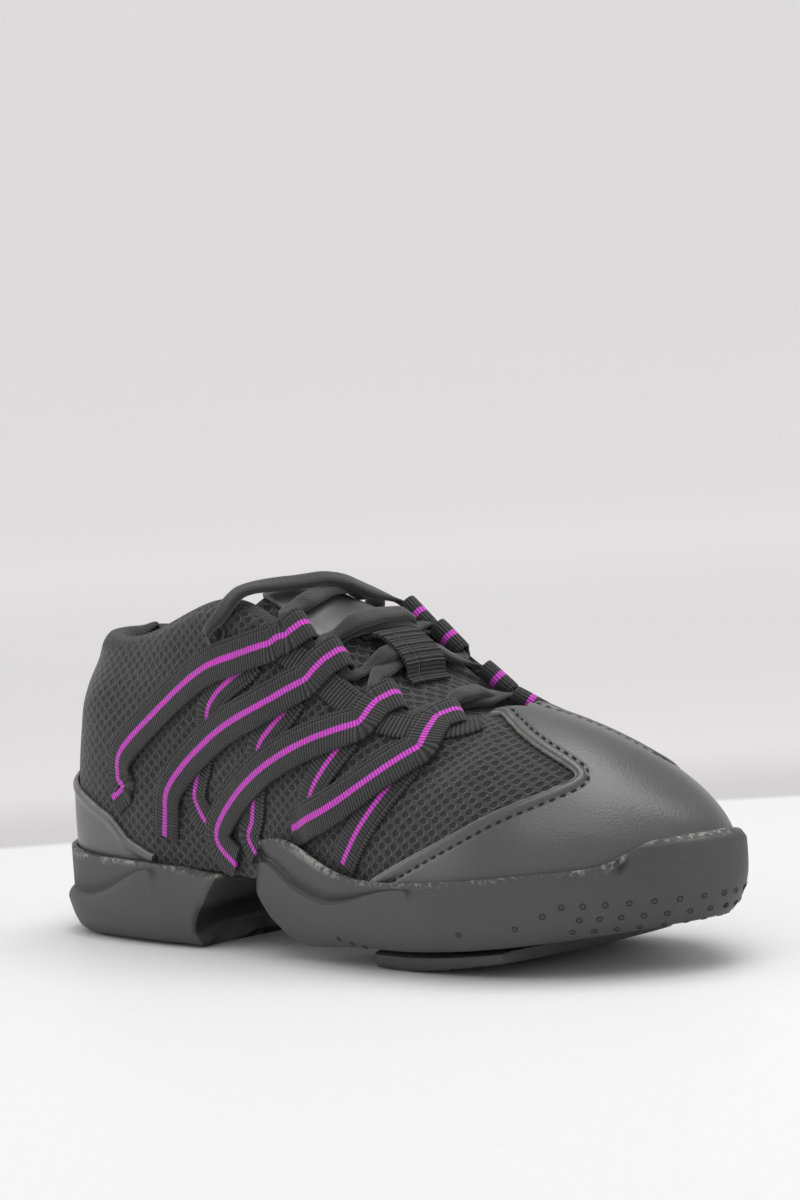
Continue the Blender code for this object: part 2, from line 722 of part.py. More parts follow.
def make_eyestays():
    """Ribbed tape under the loops, along each throat edge."""
    near = np.arange(6.9, 11.01, .41)
    for name, side in (("eyestay_lateral", -1), ("eyestay_medial", 1)):
        u = near if side < 0 else STATIONS - near
        rows = [below_top(u, distance) for distance in (EYESTAY_WIDTH, EYESTAY_WIDTH / 2, .5 * MM)]
        overlay(name, np.array([u] * 3), np.array(rows), GAP + .1 * MM, WEBBING, WEB)


Strap = namedtuple("Strap", "settle places")
# Centre lines of the webbing, as length and height on the shoe's side, from the throat down.
STRAPS = (
    Strap(.80, ((.4565, .922), (.438, .885), (.401, .859), (.340, .814), (.261, .698),
                (.193, .576), (.176, .495), (.163, .435))),
    Strap(.82, ((.514, .832), (.500, .782), (.433, .706), (.323, .568), (.273, .456),
                (.262, .380), (.258, .325))),
    Strap(2, ((.594, .720), (.580, .672), (.516, .613), (.433, .511), (.366, .374),
              (.368, .305), (.392, .265))),
    Strap(.84, ((.671, .672), (.672, .612), (.635, .534), (.578, .450), (.508, .385))),
)
# The steeper pieces that pass under the straps.
STAYS = (
    ((.425, .850), (.404, .810), (.354, .725), (.345, .640), (.325, .501), (.318, .428),
     (.345, .352)),
    ((.494, .745), (.478, .690), (.447, .614), (.444, .550), (.430, .410), (.416, .350),
     (.430, .300)),
    ((.582, .640), (.568, .590), (.550, .528), (.541, .486), (.537, .455)),
    ((.668, .580), (.655, .510), (.629, .413), (.600, .300)),
)
STRAP_STEP = 7.5 * MM      # length of one facet of a strap
LOOP_INNER = LACE_THICK + 2 * LOOP_CLEAR
LOOP_REACH = LACE_WIDTH + LOOP_CLEAR
LOOP_TAIL = 4.0 * MM       # how high above the edge a loop's inner leg ends
STRAP_LIFT = 2 * GAP + WEBBING


def strap_line(places, side, step):
    """u and v of evenly spaced places along a smooth line through the given places."""
    found = np.array([side_place(along * LENGTH, height * INSTEP, side)
                      for along, height in places])
    curve_u = spline(found[:, 0], closed=False)
    curve_v = spline(found[:, 1], closed=False)
    dense = np.linspace(0, len(places) - 1, 160)
    line = form(curve_u(dense), curve_v(dense))
    run = np.append(0, np.cumsum(np.linalg.norm(np.diff(line, axis=0), axis=1)))
    count = max(4, int(round(run[-1] / step)))
    t = np.interp(np.linspace(0, run[-1], count + 1), run, dense)
    return curve_u(t), curve_v(t)


def band_points(u, v, width, offset):
    """Left, middle and right points of a band on the form, each on the surface."""
    centre = form(u, v)
    ahead = np.gradient(centre, axis=0)
    out = normal(u, v)
    over = np.cross(ahead, out)
    over /= np.linalg.norm(over, axis=1, keepdims=True)
    rows = []
    for share in (-.5, 0, .5):
        sheet = []
        for i in range(len(u)):
            a, b = place_on(centre[i] + over[i] * width * share, u[i], v[i])
            sheet.append(lifted(a, np.clip(b, .004, 1.02), offset[i]))
        rows.append(sheet)
    return np.array(rows), over, out


def band(name, outer, inner, finish):
    """A closed strip from its outer and inner points, left, middle and right."""
    count = outer.shape[1]
    faces = grid(3, count)
    points, closed = shell(outer.reshape(-1, 3), inner.reshape(-1, 3), faces)
    return add(name, points, closed, finish)


def loop_frame(places, side):
    """Where a strap leaves the throat edge: its place, and its up, out and over directions."""
    u, v = side_place(places[0][0] * LENGTH, places[0][1] * INSTEP, side)
    u = column_at(1.0, form(u, v)[0], side)
    edge = form(u, 1.0)
    up = form(u, 1.0) - form(u, .97)
    up /= np.linalg.norm(up)
    out = normal(u, .985)
    out -= up * np.dot(out, up)
    out /= np.linalg.norm(out)
    return edge, up, out, np.cross(up, out)


def make_strap(name, strap, side):
    """Webbing from the sole to the throat edge, then a loop for the lace."""
    u, v = strap_line(strap.places, side, STRAP_STEP)
    u, v = u[::-1], v[::-1]
    share = np.linspace(1, 0, len(u))
    offset = GAP + STRAP_LIFT * (1 - smooth(share, strap.settle, strap.settle + .12))
    inner, over, out = band_points(u, v, STRAP_WIDTH, offset)
    outer = band_points(u, v, STRAP_WIDTH, offset + WEBBING)[0]
    edge, up, face, across_edge = loop_frame(strap.places, side)
    middle = outer[1, -1]
    across_edge *= np.sign(np.dot(across_edge, outer[2, -1] - outer[0, -1]))
    start = edge + face * (GAP + STRAP_LIFT)
    arc = LOOP_INNER / 2
    legs = [(1.2 * MM, 0, 0), (LOOP_REACH, 0, 0)]
    legs += [(LOOP_REACH, angle, 0) for angle in (36, 72, 108, 144, 180)]
    legs += [(LOOP_REACH, 180, LOOP_REACH - LOOP_TAIL)]
    ends = []
    for rise, angle, back in legs:
        turn = np.radians(angle)
        line = []
        for radius in (arc + WEBBING, arc):
            spot = start - face * arc + up * (rise - back)
            line.append(spot + face * radius * np.cos(turn) + up * radius * np.sin(turn))
        ends.append(line)
    ends = np.array(ends)
    width = np.array([-.5, 0, .5])[:, None, None] * across_edge * STRAP_WIDTH
    outer = np.concatenate([outer, ends[None, :, 0] + width], axis=1)
    inner = np.concatenate([inner, ends[None, :, 1] + width], axis=1)
    return band(name, outer, inner, WEB)


def make_straps():
    for side, word in ((-1, "lateral"), (1, "medial")):
        for number, strap in enumerate(STRAPS, 1):
            make_strap(f"strap_{number}_{word}", strap, side)
        for number, places in enumerate(STAYS, 1):
            u, v = strap_line(places, side, STRAP_STEP)
            level = np.full(len(u), GAP)
            inner = band_points(u, v, STAY_WIDTH, level)[0]
            outer = band_points(u, v, STAY_WIDTH, level + WEBBING)[0]
            band(f"stay_{number}_{word}", outer, inner, WEB)


PATCH_TO = 8.0             # station where the tongue's leather patch ends
TONGUE_ROWS = np.append(np.arange(6.2, 11.3, .42), 12.5)
TONGUE_TUCK = 7 * MM       # how far the tongue reaches under the throat edge
TONGUE_CROWN = 5 * MM      # how far its middle stands above its edges
TONGUE_TOP = 4 * MM        # extra rise at its free end
TONGUE_LEAN = 1.1          # its thickness measured straight down, per unit of thickness


TONGUE_SHARES = (.25, .5, .75)
PATCH_SHARES = (.12, .3, .5, .7, .88)


def tongue_sheet(depth, shares=TONGUE_SHARES):
    """Points of the tongue, a row across for each station, depth below its top face."""
    rows = []
    for near in TONGUE_ROWS:
        line, edges = [], []
        front = near > RIDGE
        for side, tucks in ((-1, (1, 0)), (1, (0, 1))):
            u = near if side < 0 else STATIONS - near
            for tuck in tucks:
                v = (.96 - .14 * tuck) if front else below_top(u, TONGUE_TUCK * tuck)[0]
                inset = wall_at(u, v) + (1.5 if front else 1) * GAP
                line.append(lifted(u, v, -(inset + depth)))
                if tuck == 0:
                    edges.append(lifted(u, v, -inset))
        if front:
            under = -(WALL + 1.5 * GAP + depth)
            top = [lifted(near, .985, under), lifted(near, 1.0, under),
                   lifted(STATIONS - near, .985, under)]
            top[1][1] = form(near, 1.0)[1]
        else:
            rise = TONGUE_CROWN * smooth(-near, -11.0, -8.0)
            rise += TONGUE_TOP * smooth(-near, -7.4, -6.0)
            top = []
            for t in shares:
                spot = edges[0] + (edges[1] - edges[0]) * t
                spot[2] += rise * 4 * t * (1 - t) - depth * TONGUE_LEAN
                top.append(spot)
        rows.append(line[:2] + top + line[2:])
    return rows


def make_tongue():
    outer, inner = np.array(tongue_sheet(0)), np.array(tongue_sheet(TONGUE_THICK))
    inner[..., 2] = np.minimum(inner[..., 2], outer[..., 2])
    rows, columns = outer.shape[:2]
    points, closed = shell(outer.reshape(-1, 3), inner.reshape(-1, 3), grid(rows, columns))
    return add("tongue", points, closed, MESH)


def make_tongue_patch():
    """Bare leather patch on the tongue's free end."""
    count = int(np.sum(TONGUE_ROWS < PATCH_TO))
    wide = len(PATCH_SHARES)
    outer, inner = (np.array(tongue_sheet(depth, PATCH_SHARES)[:count])[:, 2:2 + wide]
                    for depth in (-GAP - LEATHER, -GAP))
    points, closed = shell(outer.reshape(-1, 3), inner.reshape(-1, 3), grid(count, wide))
    return add("tongue_patch", points, closed, LEATHER_FINISH)


def tongue_line(x, lift):
    """Points on the tongue's middle line at lengths x, lifted off it."""
    rows = np.array(tongue_sheet(0)[:-1])[:, 3]
    slope = np.gradient(rows[:, 2], rows[:, 0])
    z = np.interp(x, rows[:, 0], rows[:, 2])
    tilt = np.interp(x, rows[:, 0], slope)
    out = stack(-tilt, 0 * x, 1 + 0 * x)
    out /= np.linalg.norm(out, axis=-1, keepdims=True)
    return stack(x, 0 * x, z) + out * np.asarray(lift)[..., None]


KEEPER_AT = 143 * MM       # measured from the heel
KEEPER_LENGTH = 21 * MM
KEEPER_WIDTH = 16 * MM
KEEPER_ROOM = LACE_THICK + 5 * GAP


def make_lace_keeper():
    """Ribbed webbing over the tongue's middle; the lace passes under it."""
    share = np.array([-1, -.78, -.66, -.36, 0, .36, .66, .78, 1])
    rise = np.array([0, 0, .6, .95, 1, .95, .6, 0, 0]) * KEEPER_ROOM
    x = KEEPER_AT + share * KEEPER_LENGTH / 2
    width = np.array([-.5, 0, .5])[:, None, None] * np.array([0, KEEPER_WIDTH, 0])
    drop = np.array([1, 0, 1])[:, None, None] * np.array([0, 0, -.3 * MM])
    lift = GAP + .5 * MM
    outer = tongue_line(x, lift + WEBBING + rise)[None] + width + drop
    inner = tongue_line(x, lift + rise)[None] + width + drop
    return band("lace_keeper", outer, inner, WEB)


def clear_tongue(centre):
    """Move a lace's middle line off the tongue and its patch."""
    sheet = np.array(tongue_sheet(0)[:-1])
    rows, columns = sheet.shape[:2]
    a = np.linspace(0, rows - 1, 8 * rows)
    b = np.linspace(0, columns - 1, 8 * columns)
    fine = np.stack([[np.interp(b, np.arange(columns), row) for row in np.array(
        [np.interp(a, np.arange(rows), sheet[:, j, k]) for j in range(columns)]).T]
        for k in range(3)], axis=-1)
    out = np.cross(np.gradient(fine, axis=1), np.gradient(fine, axis=0))
    out *= np.sign(out[..., 2:])
    out /= np.linalg.norm(out, axis=-1, keepdims=True)
    patch = np.repeat(a < np.sum(TONGUE_ROWS < PATCH_TO) - .5, len(b))
    fine, out = fine.reshape(-1, 3), out.reshape(-1, 3)
    for i, point in enumerate(centre):
        apart = np.linalg.norm(fine - point, axis=1)
        near = np.argsort(apart)[:1]
        within = apart < LACE_WIDTH * .75
        spots = np.flatnonzero(within) if within.any() else near
        need = LACE_THICK / 2 + 2 * GAP + np.where(patch[spots], LEATHER + GAP, 0)
        short = need - np.sum((point - fine[spots]) * out[near[0]], axis=1)
        if apart[near[0]] < LACE_WIDTH * 1.5:
            centre[i] = point + out[near[0]] * max(0, short.max())
    return centre


def tongue_face(point):
    """Which way the tongue's middle faces at a point's length."""
    here = tongue_line(np.array([point[0]]), np.array([0.0]))
    above = tongue_line(np.array([point[0]]), np.array([MM]))
    return (above - here)[0] / MM


# Loops that the lace passes, from the toe: which way it goes through (1 to the heel) and how
# far its stretch to the next one rises over a straight line, in millimetres.
Pass = namedtuple("Pass", "loop side way rise")
LACE_PASSES = (Pass(4, 1, -1, .6), Pass(4, -1, 1, 1.2), Pass(3, 1, 1, None), Pass(2, -1, 1, 2.4),
               Pass(1, 1, 1, 9))
CROSS_RISE = 3.0           # rise of the lace's second end, which passes under the first
LACE_FACETS = 8
LACE_STEP = 4.4 * MM
LACE_PULL = 12 * MM        # how far a stop's direction carries on
LACE_SIT = .70 * MM        # how far the lace sits above a loop's middle
LACE_SHARES = np.array([-1, -.5, 0, .5, 1])
PINCH = .54                # the lace's share of its full size where a loop holds it
PINCH_RUN = (8.5 * MM, 17 * MM)


def loop_centre(number, side):
    """The lace's middle in a loop, half its run through it, and which way the loop faces."""
    edge, up, face, over = loop_frame(STRAPS[number - 1].places, side)
    u = column_at(1.0, edge[0], side)
    edge_run = form(u + .1 * side, 1.0) - form(u - .1 * side, 1.0)
    edge_run -= face * np.dot(edge_run, face)
    run = -edge_run / np.linalg.norm(edge_run) * np.sign(edge_run[0]) - over * np.sign(over[0])
    run *= (STRAP_WIDTH / 2 + 1.2 * MM) / np.linalg.norm(run)
    rise = LOOP_REACH / 2 + LACE_SIT
    return edge + face * (GAP + STRAP_LIFT - LOOP_INNER / 2) + up * rise, run, face


def through_loop(number, side, way):
    centre, run, face = loop_centre(number, side)
    return [(centre + run * share, face) for share in LACE_SHARES * way]


def top_end(side):
    """The lace's last stretch: over the topline and down to the top eyelet."""
    def place(near, v):
        u = near if side < 0 else STATIONS - near
        return form(u, v), normal(u, min(v, .98))

    up = np.array([0, 0, 1.0])
    near = EYELET_PLACE[0]
    edge, edge_out = place(near + .5, 1.0)
    beside, beside_out = place(near + .24, .95)
    eye, axis = place(near, EYELET_PLACE[1])
    return [(edge + up * 4.2 * MM + edge_out * .6 * MM, up + edge_out),
            (beside + beside_out * 3.2 * MM, beside_out),
            (eye + axis * 3.6 * MM, axis), (eye + axis * 1.0 * MM, axis)]


def crossing(start, end, rise):
    """Stops of a stretch over the tongue; with no rise it passes under the keeper."""
    if rise is None:
        spots = [tongue_line(np.array([KEEPER_AT]), np.array([GAP + LACE_THICK / 2]))[0]]
    else:
        spots = [start + (end - start) * t + np.array([0, 0, rise * MM * 4 * t * (1 - t)])
                 for t in (.25, .5, .75)]
    return [(spot, tongue_face(spot)) for spot in spots]


def route(stops, step):
    """Evenly spaced places and faces on a smooth line through the stops."""
    rows = np.array([np.concatenate([spot, face / np.linalg.norm(face)])
                     for spot, face in stops])
    gap = np.linalg.norm(np.diff(rows[:, :3], axis=0), axis=1)[:, None]
    slope = np.diff(rows, axis=0) / gap
    inner = (slope[:-1] * gap[1:] + slope[1:] * gap[:-1]) / (gap[:-1] + gap[1:])
    lean = np.concatenate([slope[:1], inner, slope[-1:]])
    knots = np.append(0, np.cumsum(gap[:, 0]))
    count = int(round(knots[-1] / step))
    dense = np.linspace(0, knots[-1], 20 * count)

    def at(run):
        i = np.clip(np.searchsorted(knots, run) - 1, 0, len(knots) - 2)
        t = (run - knots[i])[:, None] / gap[i]
        pull = np.minimum(gap[i], LACE_PULL)
        return ((1 + 2 * t) * (1 - t) ** 2 * rows[i] + t * (1 - t) ** 2 * pull * lean[i]
                + t ** 2 * (3 - 2 * t) * rows[i + 1] - t ** 2 * (1 - t) * pull * lean[i + 1])

    path = at(dense)[:, :3]
    run = np.append(0, np.cumsum(np.linalg.norm(np.diff(path, axis=0), axis=1)))
    found = at(np.interp(np.linspace(0, run[-1], count + 1), run, dense))
    return found[:, :3], found[:, 3:], np.linspace(run[-1], 0, count + 1)


def tube(name, stops, loops, finish):
    """A flat cord through the given stops, pinched in the loops and narrow in the eyelet."""
    centre, face, left = route(stops, LACE_STEP)
    apart = np.min([np.linalg.norm(centre - spot, axis=1) for spot in loops], axis=0)
    free = smooth(apart, *PINCH_RUN)
    centre += (clear_tongue(centre.copy()) - centre) * free[:, None]
    ahead = np.gradient(centre, axis=0)
    ahead /= np.linalg.norm(ahead, axis=1, keepdims=True)
    face -= ahead * np.sum(face * ahead, axis=1, keepdims=True)
    face /= np.linalg.norm(face, axis=1, keepdims=True)
    wide = np.cross(ahead, face)
    narrow = smooth(left, 0, 10 * MM)
    size = PINCH + (1 - PINCH) * free
    half_width = ((EYELET_HOLE - .7 * MM) * (1 - narrow) + LACE_WIDTH / 2 * narrow) * size
    half_thick = LACE_THICK / 2 * size
    angle = (np.arange(LACE_FACETS) + .5) * 2 * np.pi / LACE_FACETS
    skin = (centre[:, None] + wide[:, None] * (half_width[:, None] * np.cos(angle))[..., None]
            + face[:, None] * (half_thick[:, None] * np.sin(angle))[..., None])
    last = (len(centre) - 1) * LACE_FACETS
    mesh = grid(len(centre), LACE_FACETS, wrap=True)
    mesh.append(tuple(range(LACE_FACETS)))
    mesh.append(tuple(range(last, last + LACE_FACETS)))
    return add(name, skin.reshape(-1, 3), mesh, finish)


def make_lace():
    """The lace zigzags up through the loops; its two ends cross and stop in the eyelets."""
    stops, loops = [], []
    for here, after in zip(LACE_PASSES, LACE_PASSES[1:] + (None,)):
        stops += through_loop(here.loop, here.side, here.way)
        loops.append(loop_centre(here.loop, here.side)[0])
        ahead = through_loop(after.loop, after.side, after.way) if after else top_end(-1)
        stops += crossing(stops[-1][0], ahead[0][0], here.rise)
    tube("lace", stops + top_end(-1), loops, WEB)
    stops = through_loop(1, -1, 1)
    end = top_end(1)
    stops += crossing(stops[-1][0], end[0][0], CROSS_RISE)
    tube("lace_end_medial", stops + end, [loop_centre(1, -1)[0]], WEB)


EYELET_PLACE = (5.76, .873)


def make_eyelets():
    for name, side in (("eyelet_lateral", -1), ("eyelet_medial", 1)):
        u = EYELET_PLACE[0] if side < 0 else STATIONS - EYELET_PLACE[0]
        centre, axis = form(u, EYELET_PLACE[1]), normal(u, EYELET_PLACE[1])
        one = np.cross(axis, [0, 0, 1.0])
        one /= np.linalg.norm(one)
        two = np.cross(axis, one)
        profile = ((EYELET_HOLE, 0), (EYELET_OUTER, 0), (EYELET_OUTER - .5 * MM, EYELET_RISE),
                   (EYELET_HOLE + .4 * MM, EYELET_RISE))
        turn = np.linspace(0, 2 * np.pi, 20, endpoint=False)
        points = [centre + axis * (GAP + .2 * MM + rise)
                  + (one * np.cos(angle) + two * np.sin(angle)) * radius
                  for radius, rise in profile for angle in turn]
        faces = grid(4, 20, wrap=True)
        faces += [(60 + k, 60 + (k + 1) % 20, (k + 1) % 20, k) for k in range(20)]
        add(name, points, faces, WEB)


def clear_scene():
    for thing in list(bpy.data.objects):
        bpy.data.objects.remove(thing, do_unlink=True)


def centre_pieces():
    """Move the model from heel-based lengths to its own origin, under its middle."""
    points = np.array([vert.co[:] for thing in bpy.data.objects for vert in thing.data.vertices])
    low, high = points.min(axis=0), points.max(axis=0)
    for thing in bpy.data.objects:
        for vert in thing.data.vertices:
            vert.co.x -= (low[0] + high[0]) / 2
            vert.co.y -= (low[1] + high[1]) / 2
    return (low + high) / 2


def main():
    clear_scene()
    make_upper()
    make_heel_unit()
    make_forefoot_unit()
    make_tread_pad()
    make_insole()
    make_toe_cap()
    make_heel_counter()
    make_eyestays()
    make_straps()
    make_tongue()
    make_tongue_patch()
    make_lace_keeper()
    make_lace()
    make_eyelets()
    centre_pieces()


main()
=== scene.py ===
"""Looks of a right dance sneaker: split sole, open mesh, leather toe cap and heel counter, and
ribbed webbing with a bright stripe that ends in lace loops.

Laid out as a Blender add-on and run as a script. Metres, +X to the toe, +Y to the inner side,
+Z up. The form's tables count lengths from the heel; piece() moves points to the model's origin.
"""
from collections import namedtuple

import bmesh
import bpy
import numpy as np
from mathutils import Matrix, Vector
from mathutils.bvhtree import BVHTree
from mathutils.kdtree import KDTree


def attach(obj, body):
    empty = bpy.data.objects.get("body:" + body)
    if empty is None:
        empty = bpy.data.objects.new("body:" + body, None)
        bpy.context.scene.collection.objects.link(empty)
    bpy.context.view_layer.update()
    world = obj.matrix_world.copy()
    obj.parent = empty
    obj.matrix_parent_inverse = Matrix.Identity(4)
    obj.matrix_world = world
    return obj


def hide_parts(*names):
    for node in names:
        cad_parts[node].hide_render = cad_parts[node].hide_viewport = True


bl_info = {
    "name": "Dance sneaker",
    "version": (1, 0, 0),
    "blender": (4, 5, 0),
    "location": "3D View > Sidebar > Sneaker",
    "description": "Dresses the packed model of a right dance sneaker",
    "category": "Object",
}

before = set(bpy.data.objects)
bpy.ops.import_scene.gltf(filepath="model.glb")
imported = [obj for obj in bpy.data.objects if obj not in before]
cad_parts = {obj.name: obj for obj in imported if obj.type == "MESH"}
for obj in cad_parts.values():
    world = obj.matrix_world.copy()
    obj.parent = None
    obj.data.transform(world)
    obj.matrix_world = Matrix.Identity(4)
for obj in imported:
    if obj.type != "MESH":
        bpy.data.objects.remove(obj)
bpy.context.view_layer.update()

# Driving sizes
MM = 0.001
LENGTH = 262 * MM
BALL_WIDTH = 94 * MM
INSTEP = 104 * MM          # highest point of the collar above the floor
SOLE_EDGE = 26 * MM        # height of the upper's lower edge at the heel
GAP = 0.35 * MM            # clearance between pieces that touch
WALL = 2.0 * MM            # upper's wall
COLLAR_PAD = 3.0 * MM      # extra wall of the padded collar
LEATHER = 1.0 * MM
WEBBING = 0.8 * MM
STRAP_WIDTH = 11.5 * MM
STAY_WIDTH = 10.5 * MM
EYESTAY_WIDTH = 8.0 * MM
LACE_WIDTH = 6.0 * MM
LACE_THICK = 3.0 * MM
LOOP_CLEAR = 0.6 * MM      # room for the lace in a loop
EYELET_OUTER = 4.7 * MM    # radius
EYELET_HOLE = 2.6 * MM     # radius
TONGUE_THICK = 3.0 * MM
HEEL_FRONT = 92 * MM       # front of the heel unit, measured from the heel
LOBE_REAR = 114 * MM       # rear of the forefoot unit's lobes, measured from the heel

HALF = BALL_WIDTH / 2
Section = namedtuple(
    "Section", "name along lateral medial base belly rise top_along top_across ridge top"
    " inner_top crown fall lean lip")
# One row for each column of the upper, from the heel's centre to the toe's centre. Base is
# where the upper meets the sole, top is its collar, throat or vamp ridge, and inner_top is
# the top's height on the medial side.
SECTIONS = [
    Section("heel", .021, 0, 0, 1.00, .01, .34, .088, 0, 0, .905, .905, .30, .12, 0, 1.08),
    Section("heel_turn", .036, .30, .31, 1.00, .02, .34, .097, .20, 0, .903, .903, .29, .12, 0,
            1.07),
    Section("heel_side", .080, .515, .51, .98, .03, .35, .128, .35, 0, .893, .89, .25, .16, 0,
            1.03),
    Section("counter", .152, .61, .58, .96, .05, .35, .178, .43, 0, .893, .88, .19, .22, 0, .99),
    Section("collar", .230, .655, .58, .95, .06, .35, .238, .49, 0, .925, .90, .14, .28, 0, .98),
    Section("waist", .300, .655, .56, .93, .07, .35, .306, .55, 0, .977, .915, .10, .28, 0, .93),
    Section("quarter", .368, .68, .555, .90, .08, .35, .376, .59, 0, 1.00, .93, .10, .26, 0, .93),
    Section("throat_top", .436, .745, .60, .88, .08, .35, .444, .59, 0, .945, .92, .15, .24, 0,
            1.30),
    Section("throat_high", .506, .82, .68, .86, .07, .36, .512, .565, 0, .850, .85, .20, .24,
            0, 1.42),
    Section("throat_mid", .580, .895, .78, .85, .06, .38, .584, .555, 0, .740, .745, .24, .22,
            0, 1.16),
    Section("throat_low", .656, .935, .87, .86, .05, .40, .658, .455, 0, .680, .680, .28, .16,
            0, 1.05),
    Section("throat_end", .732, .940, .91, .90, .04, .42, .714, .23, 0, .678, .678, .30, .06,
            .010, 1.08),
    Section("vamp", .806, .885, .89, .97, .04, .44, .733, 0, 0, .685, .685, .40, 0, .030, 1.14),
    Section("toe_box", .876, .70, .75, 1.05, .03, .46, .806, 0, .01, .630, .630, .38, 0, .030,
            1.20),
    Section("toe_turn", .942, .36, .47, 1.14, .03, .46, .878, 0, .07, .545, .545, .28, 0, .028,
            1.25),
    Section("toe", .977, -.14, .14, 1.20, .03, .46, .918, 0, .12, .480, .480, 0, 0, .026, 1.27),
]
TOE = len(SECTIONS) - 1
RIDGE = [row.name for row in SECTIONS].index("vamp")
STATIONS = 2 * TOE


def spline(values, closed=True):
    """Cubic spline through values at whole numbers; returns a function of an array."""
    values = np.asarray(values, float)
    count = len(values)
    matrix = np.zeros((count, count))
    right = np.zeros(count)
    for i in range(count):
        if closed or 0 < i < count - 1:
            before, after = (i - 1) % count, (i + 1) % count
            matrix[i, before] += 1
            matrix[i, i] += 4
            matrix[i, after] += 1
            right[i] = 6 * (values[before] - 2 * values[i] + values[after])
        else:
            matrix[i, i] = 1
    bend = np.linalg.solve(matrix, right)

    def at(u):
        u = np.asarray(u, float)
        u = np.mod(u, count) if closed else np.clip(u, 0, count - 1)
        low = np.minimum(np.floor(u).astype(int), count - (1 if closed else 2))
        high = (low + 1) % count
        b = u - low
        a = 1 - b
        return (a * values[low] + b * values[high]
                + ((a ** 3 - a) * bend[low] + (b ** 3 - b) * bend[high]) / 6)
    return at


def around(lateral, medial=None):
    """A closed spline whose first half runs down the lateral side and second half back."""
    medial = lateral if medial is None else medial
    return spline(list(lateral) + list(medial)[-2:0:-1])


def column(name):
    return np.array([getattr(row, name) for row in SECTIONS], float)


BASE_X = around(column("along") * LENGTH)
BASE_Y = around(-column("lateral") * HALF, column("medial") * HALF)
BASE_Z = around(column("base") * SOLE_EDGE)
TOP_X = around(column("top_along") * LENGTH)
TOP_Z = around(column("top") * INSTEP, column("inner_top") * INSTEP)
RIDGE_Y = around(column("ridge") * HALF)
TOP_ACROSS = spline(column("top_across")[:RIDGE + 1] * HALF, closed=False)
FALL = spline(column("fall")[:RIDGE + 1], closed=False)
CROWN = around(-column("crown") * HALF, column("crown") * HALF)
LEAN = around(column("lean") * LENGTH)
BELLY = around(column("belly") * HALF)
RISE = around(column("rise"))
LIP = around(column("lip") * SOLE_EDGE)


def stack(*parts):
    return np.stack(np.broadcast_arrays(*parts), axis=-1)


def folded(u):
    """How far u lies from the heel's centre, whichever side it is on."""
    u = np.mod(np.asarray(u, float), STATIONS)
    return np.minimum(u, STATIONS - u)


def side_of(u):
    return np.where(np.mod(u, STATIONS) < TOE, -1.0, 1.0)


def on_side(near, side):
    """u of a lateral station, or of the one across from it on the medial side."""
    return near if side < 0 else STATIONS - near


def unit(vectors):
    return vectors / np.maximum(np.linalg.norm(vectors, axis=-1, keepdims=True), 1e-12)


def runs(points, axis=0):
    """Length run along one axis of a grid of points."""
    step = np.linalg.norm(np.diff(points, axis=axis), axis=-1)
    start = np.zeros_like(np.take(step, [0], axis=axis))
    return np.concatenate([start, np.cumsum(step, axis=axis)], axis=axis)


def halved(low, high, short):
    """Where between two bounds a test of being short of something turns false."""
    for _ in range(30):
        middle = (low + high) / 2
        under = short(middle)
        low, high = np.where(under, middle, low), np.where(under, high, middle)
    return (low + high) / 2


def base(u):
    return stack(BASE_X(u), BASE_Y(u), BASE_Z(u))


def outward(u):
    """Level direction that points out of the shoe at u."""
    step = base(np.asarray(u) + .05) - base(np.asarray(u) - .05)
    return unit(stack(step[..., 1], -step[..., 0], 0 * step[..., 0]))


def form(u, v):
    """Outer surface of the upper: u runs round the shoe, v from the sole to the topline."""
    u, v = np.broadcast_arrays(np.asarray(u, float), np.asarray(v, float))
    near = folded(u)
    foot = base(u)
    across = np.where(near < RIDGE, TOP_ACROSS(near), 0.0)
    top = stack(TOP_X(u), RIDGE_Y(u) + side_of(u) * across, TOP_Z(u))
    height = (top - foot)[..., 2]
    out = outward(u)
    low = foot + out * BELLY(u)[..., None]
    low[..., 2] += RISE(u) * height
    on_ridge = np.clip(near - RIDGE + 1, 0, 1)
    ahead = np.minimum(near, TOE - .02)
    run = TOP_X(ahead + .02) - TOP_X(ahead - .02)
    slope = np.where(near > RIDGE - 1, (TOP_Z(ahead + .02) - TOP_Z(ahead - .02)) / np.where(
        np.abs(run) > 1e-9, run, 1e-9), 0)
    slope = np.clip(slope, -1.6, 0)
    lean = LEAN(u)
    turn = np.clip((near - 1.5) / 2, 0, 1)[..., None]
    crown = CROWN(u)
    level = stack(0 * crown, crown, 0 * crown) * turn + out * np.abs(crown)[..., None] * (1 - turn)
    high = top + level
    high[..., 0] += lean
    drop = np.where(near < RIDGE, FALL(near) * height, 0.0)
    high[..., 2] += on_ridge * slope * lean - drop
    v = v[..., None]
    return ((1 - v) ** 3 * foot + 3 * v * (1 - v) ** 2 * low
            + 3 * v ** 2 * (1 - v) * high + v ** 3 * top)


def normal(u, v):
    """Outward normal of the form."""
    v = np.clip(np.asarray(v, float), .01, .985)
    along = form(np.asarray(u) + .02, v) - form(np.asarray(u) - .02, v)
    return unit(np.cross(along, form(u, v + .01) - form(u, v - .01)))


def lifted(u, v, offset):
    return form(u, v) + normal(u, v) * np.asarray(offset)[..., None]


def station_at(x, side):
    """u on one side of the shoe where the upper's lower edge passes x."""
    x = np.asarray(x, float)
    near = halved(np.full(x.shape, .5), np.full(x.shape, TOE - .5), lambda u: BASE_X(u) < x)
    return on_side(near, side)


def column_at(v, x, side):
    """u at which the row v of the form passes x."""
    return on_side(halved(5.0, TOE - .3, lambda near: form(on_side(near, side), v)[0] < x), side)


def wall_at(u, v):
    """The upper's wall, thicker where the collar is padded."""
    return WALL + COLLAR_PAD * smooth(v, .55, .95) * smooth(-folded(u), -8, -6.5)


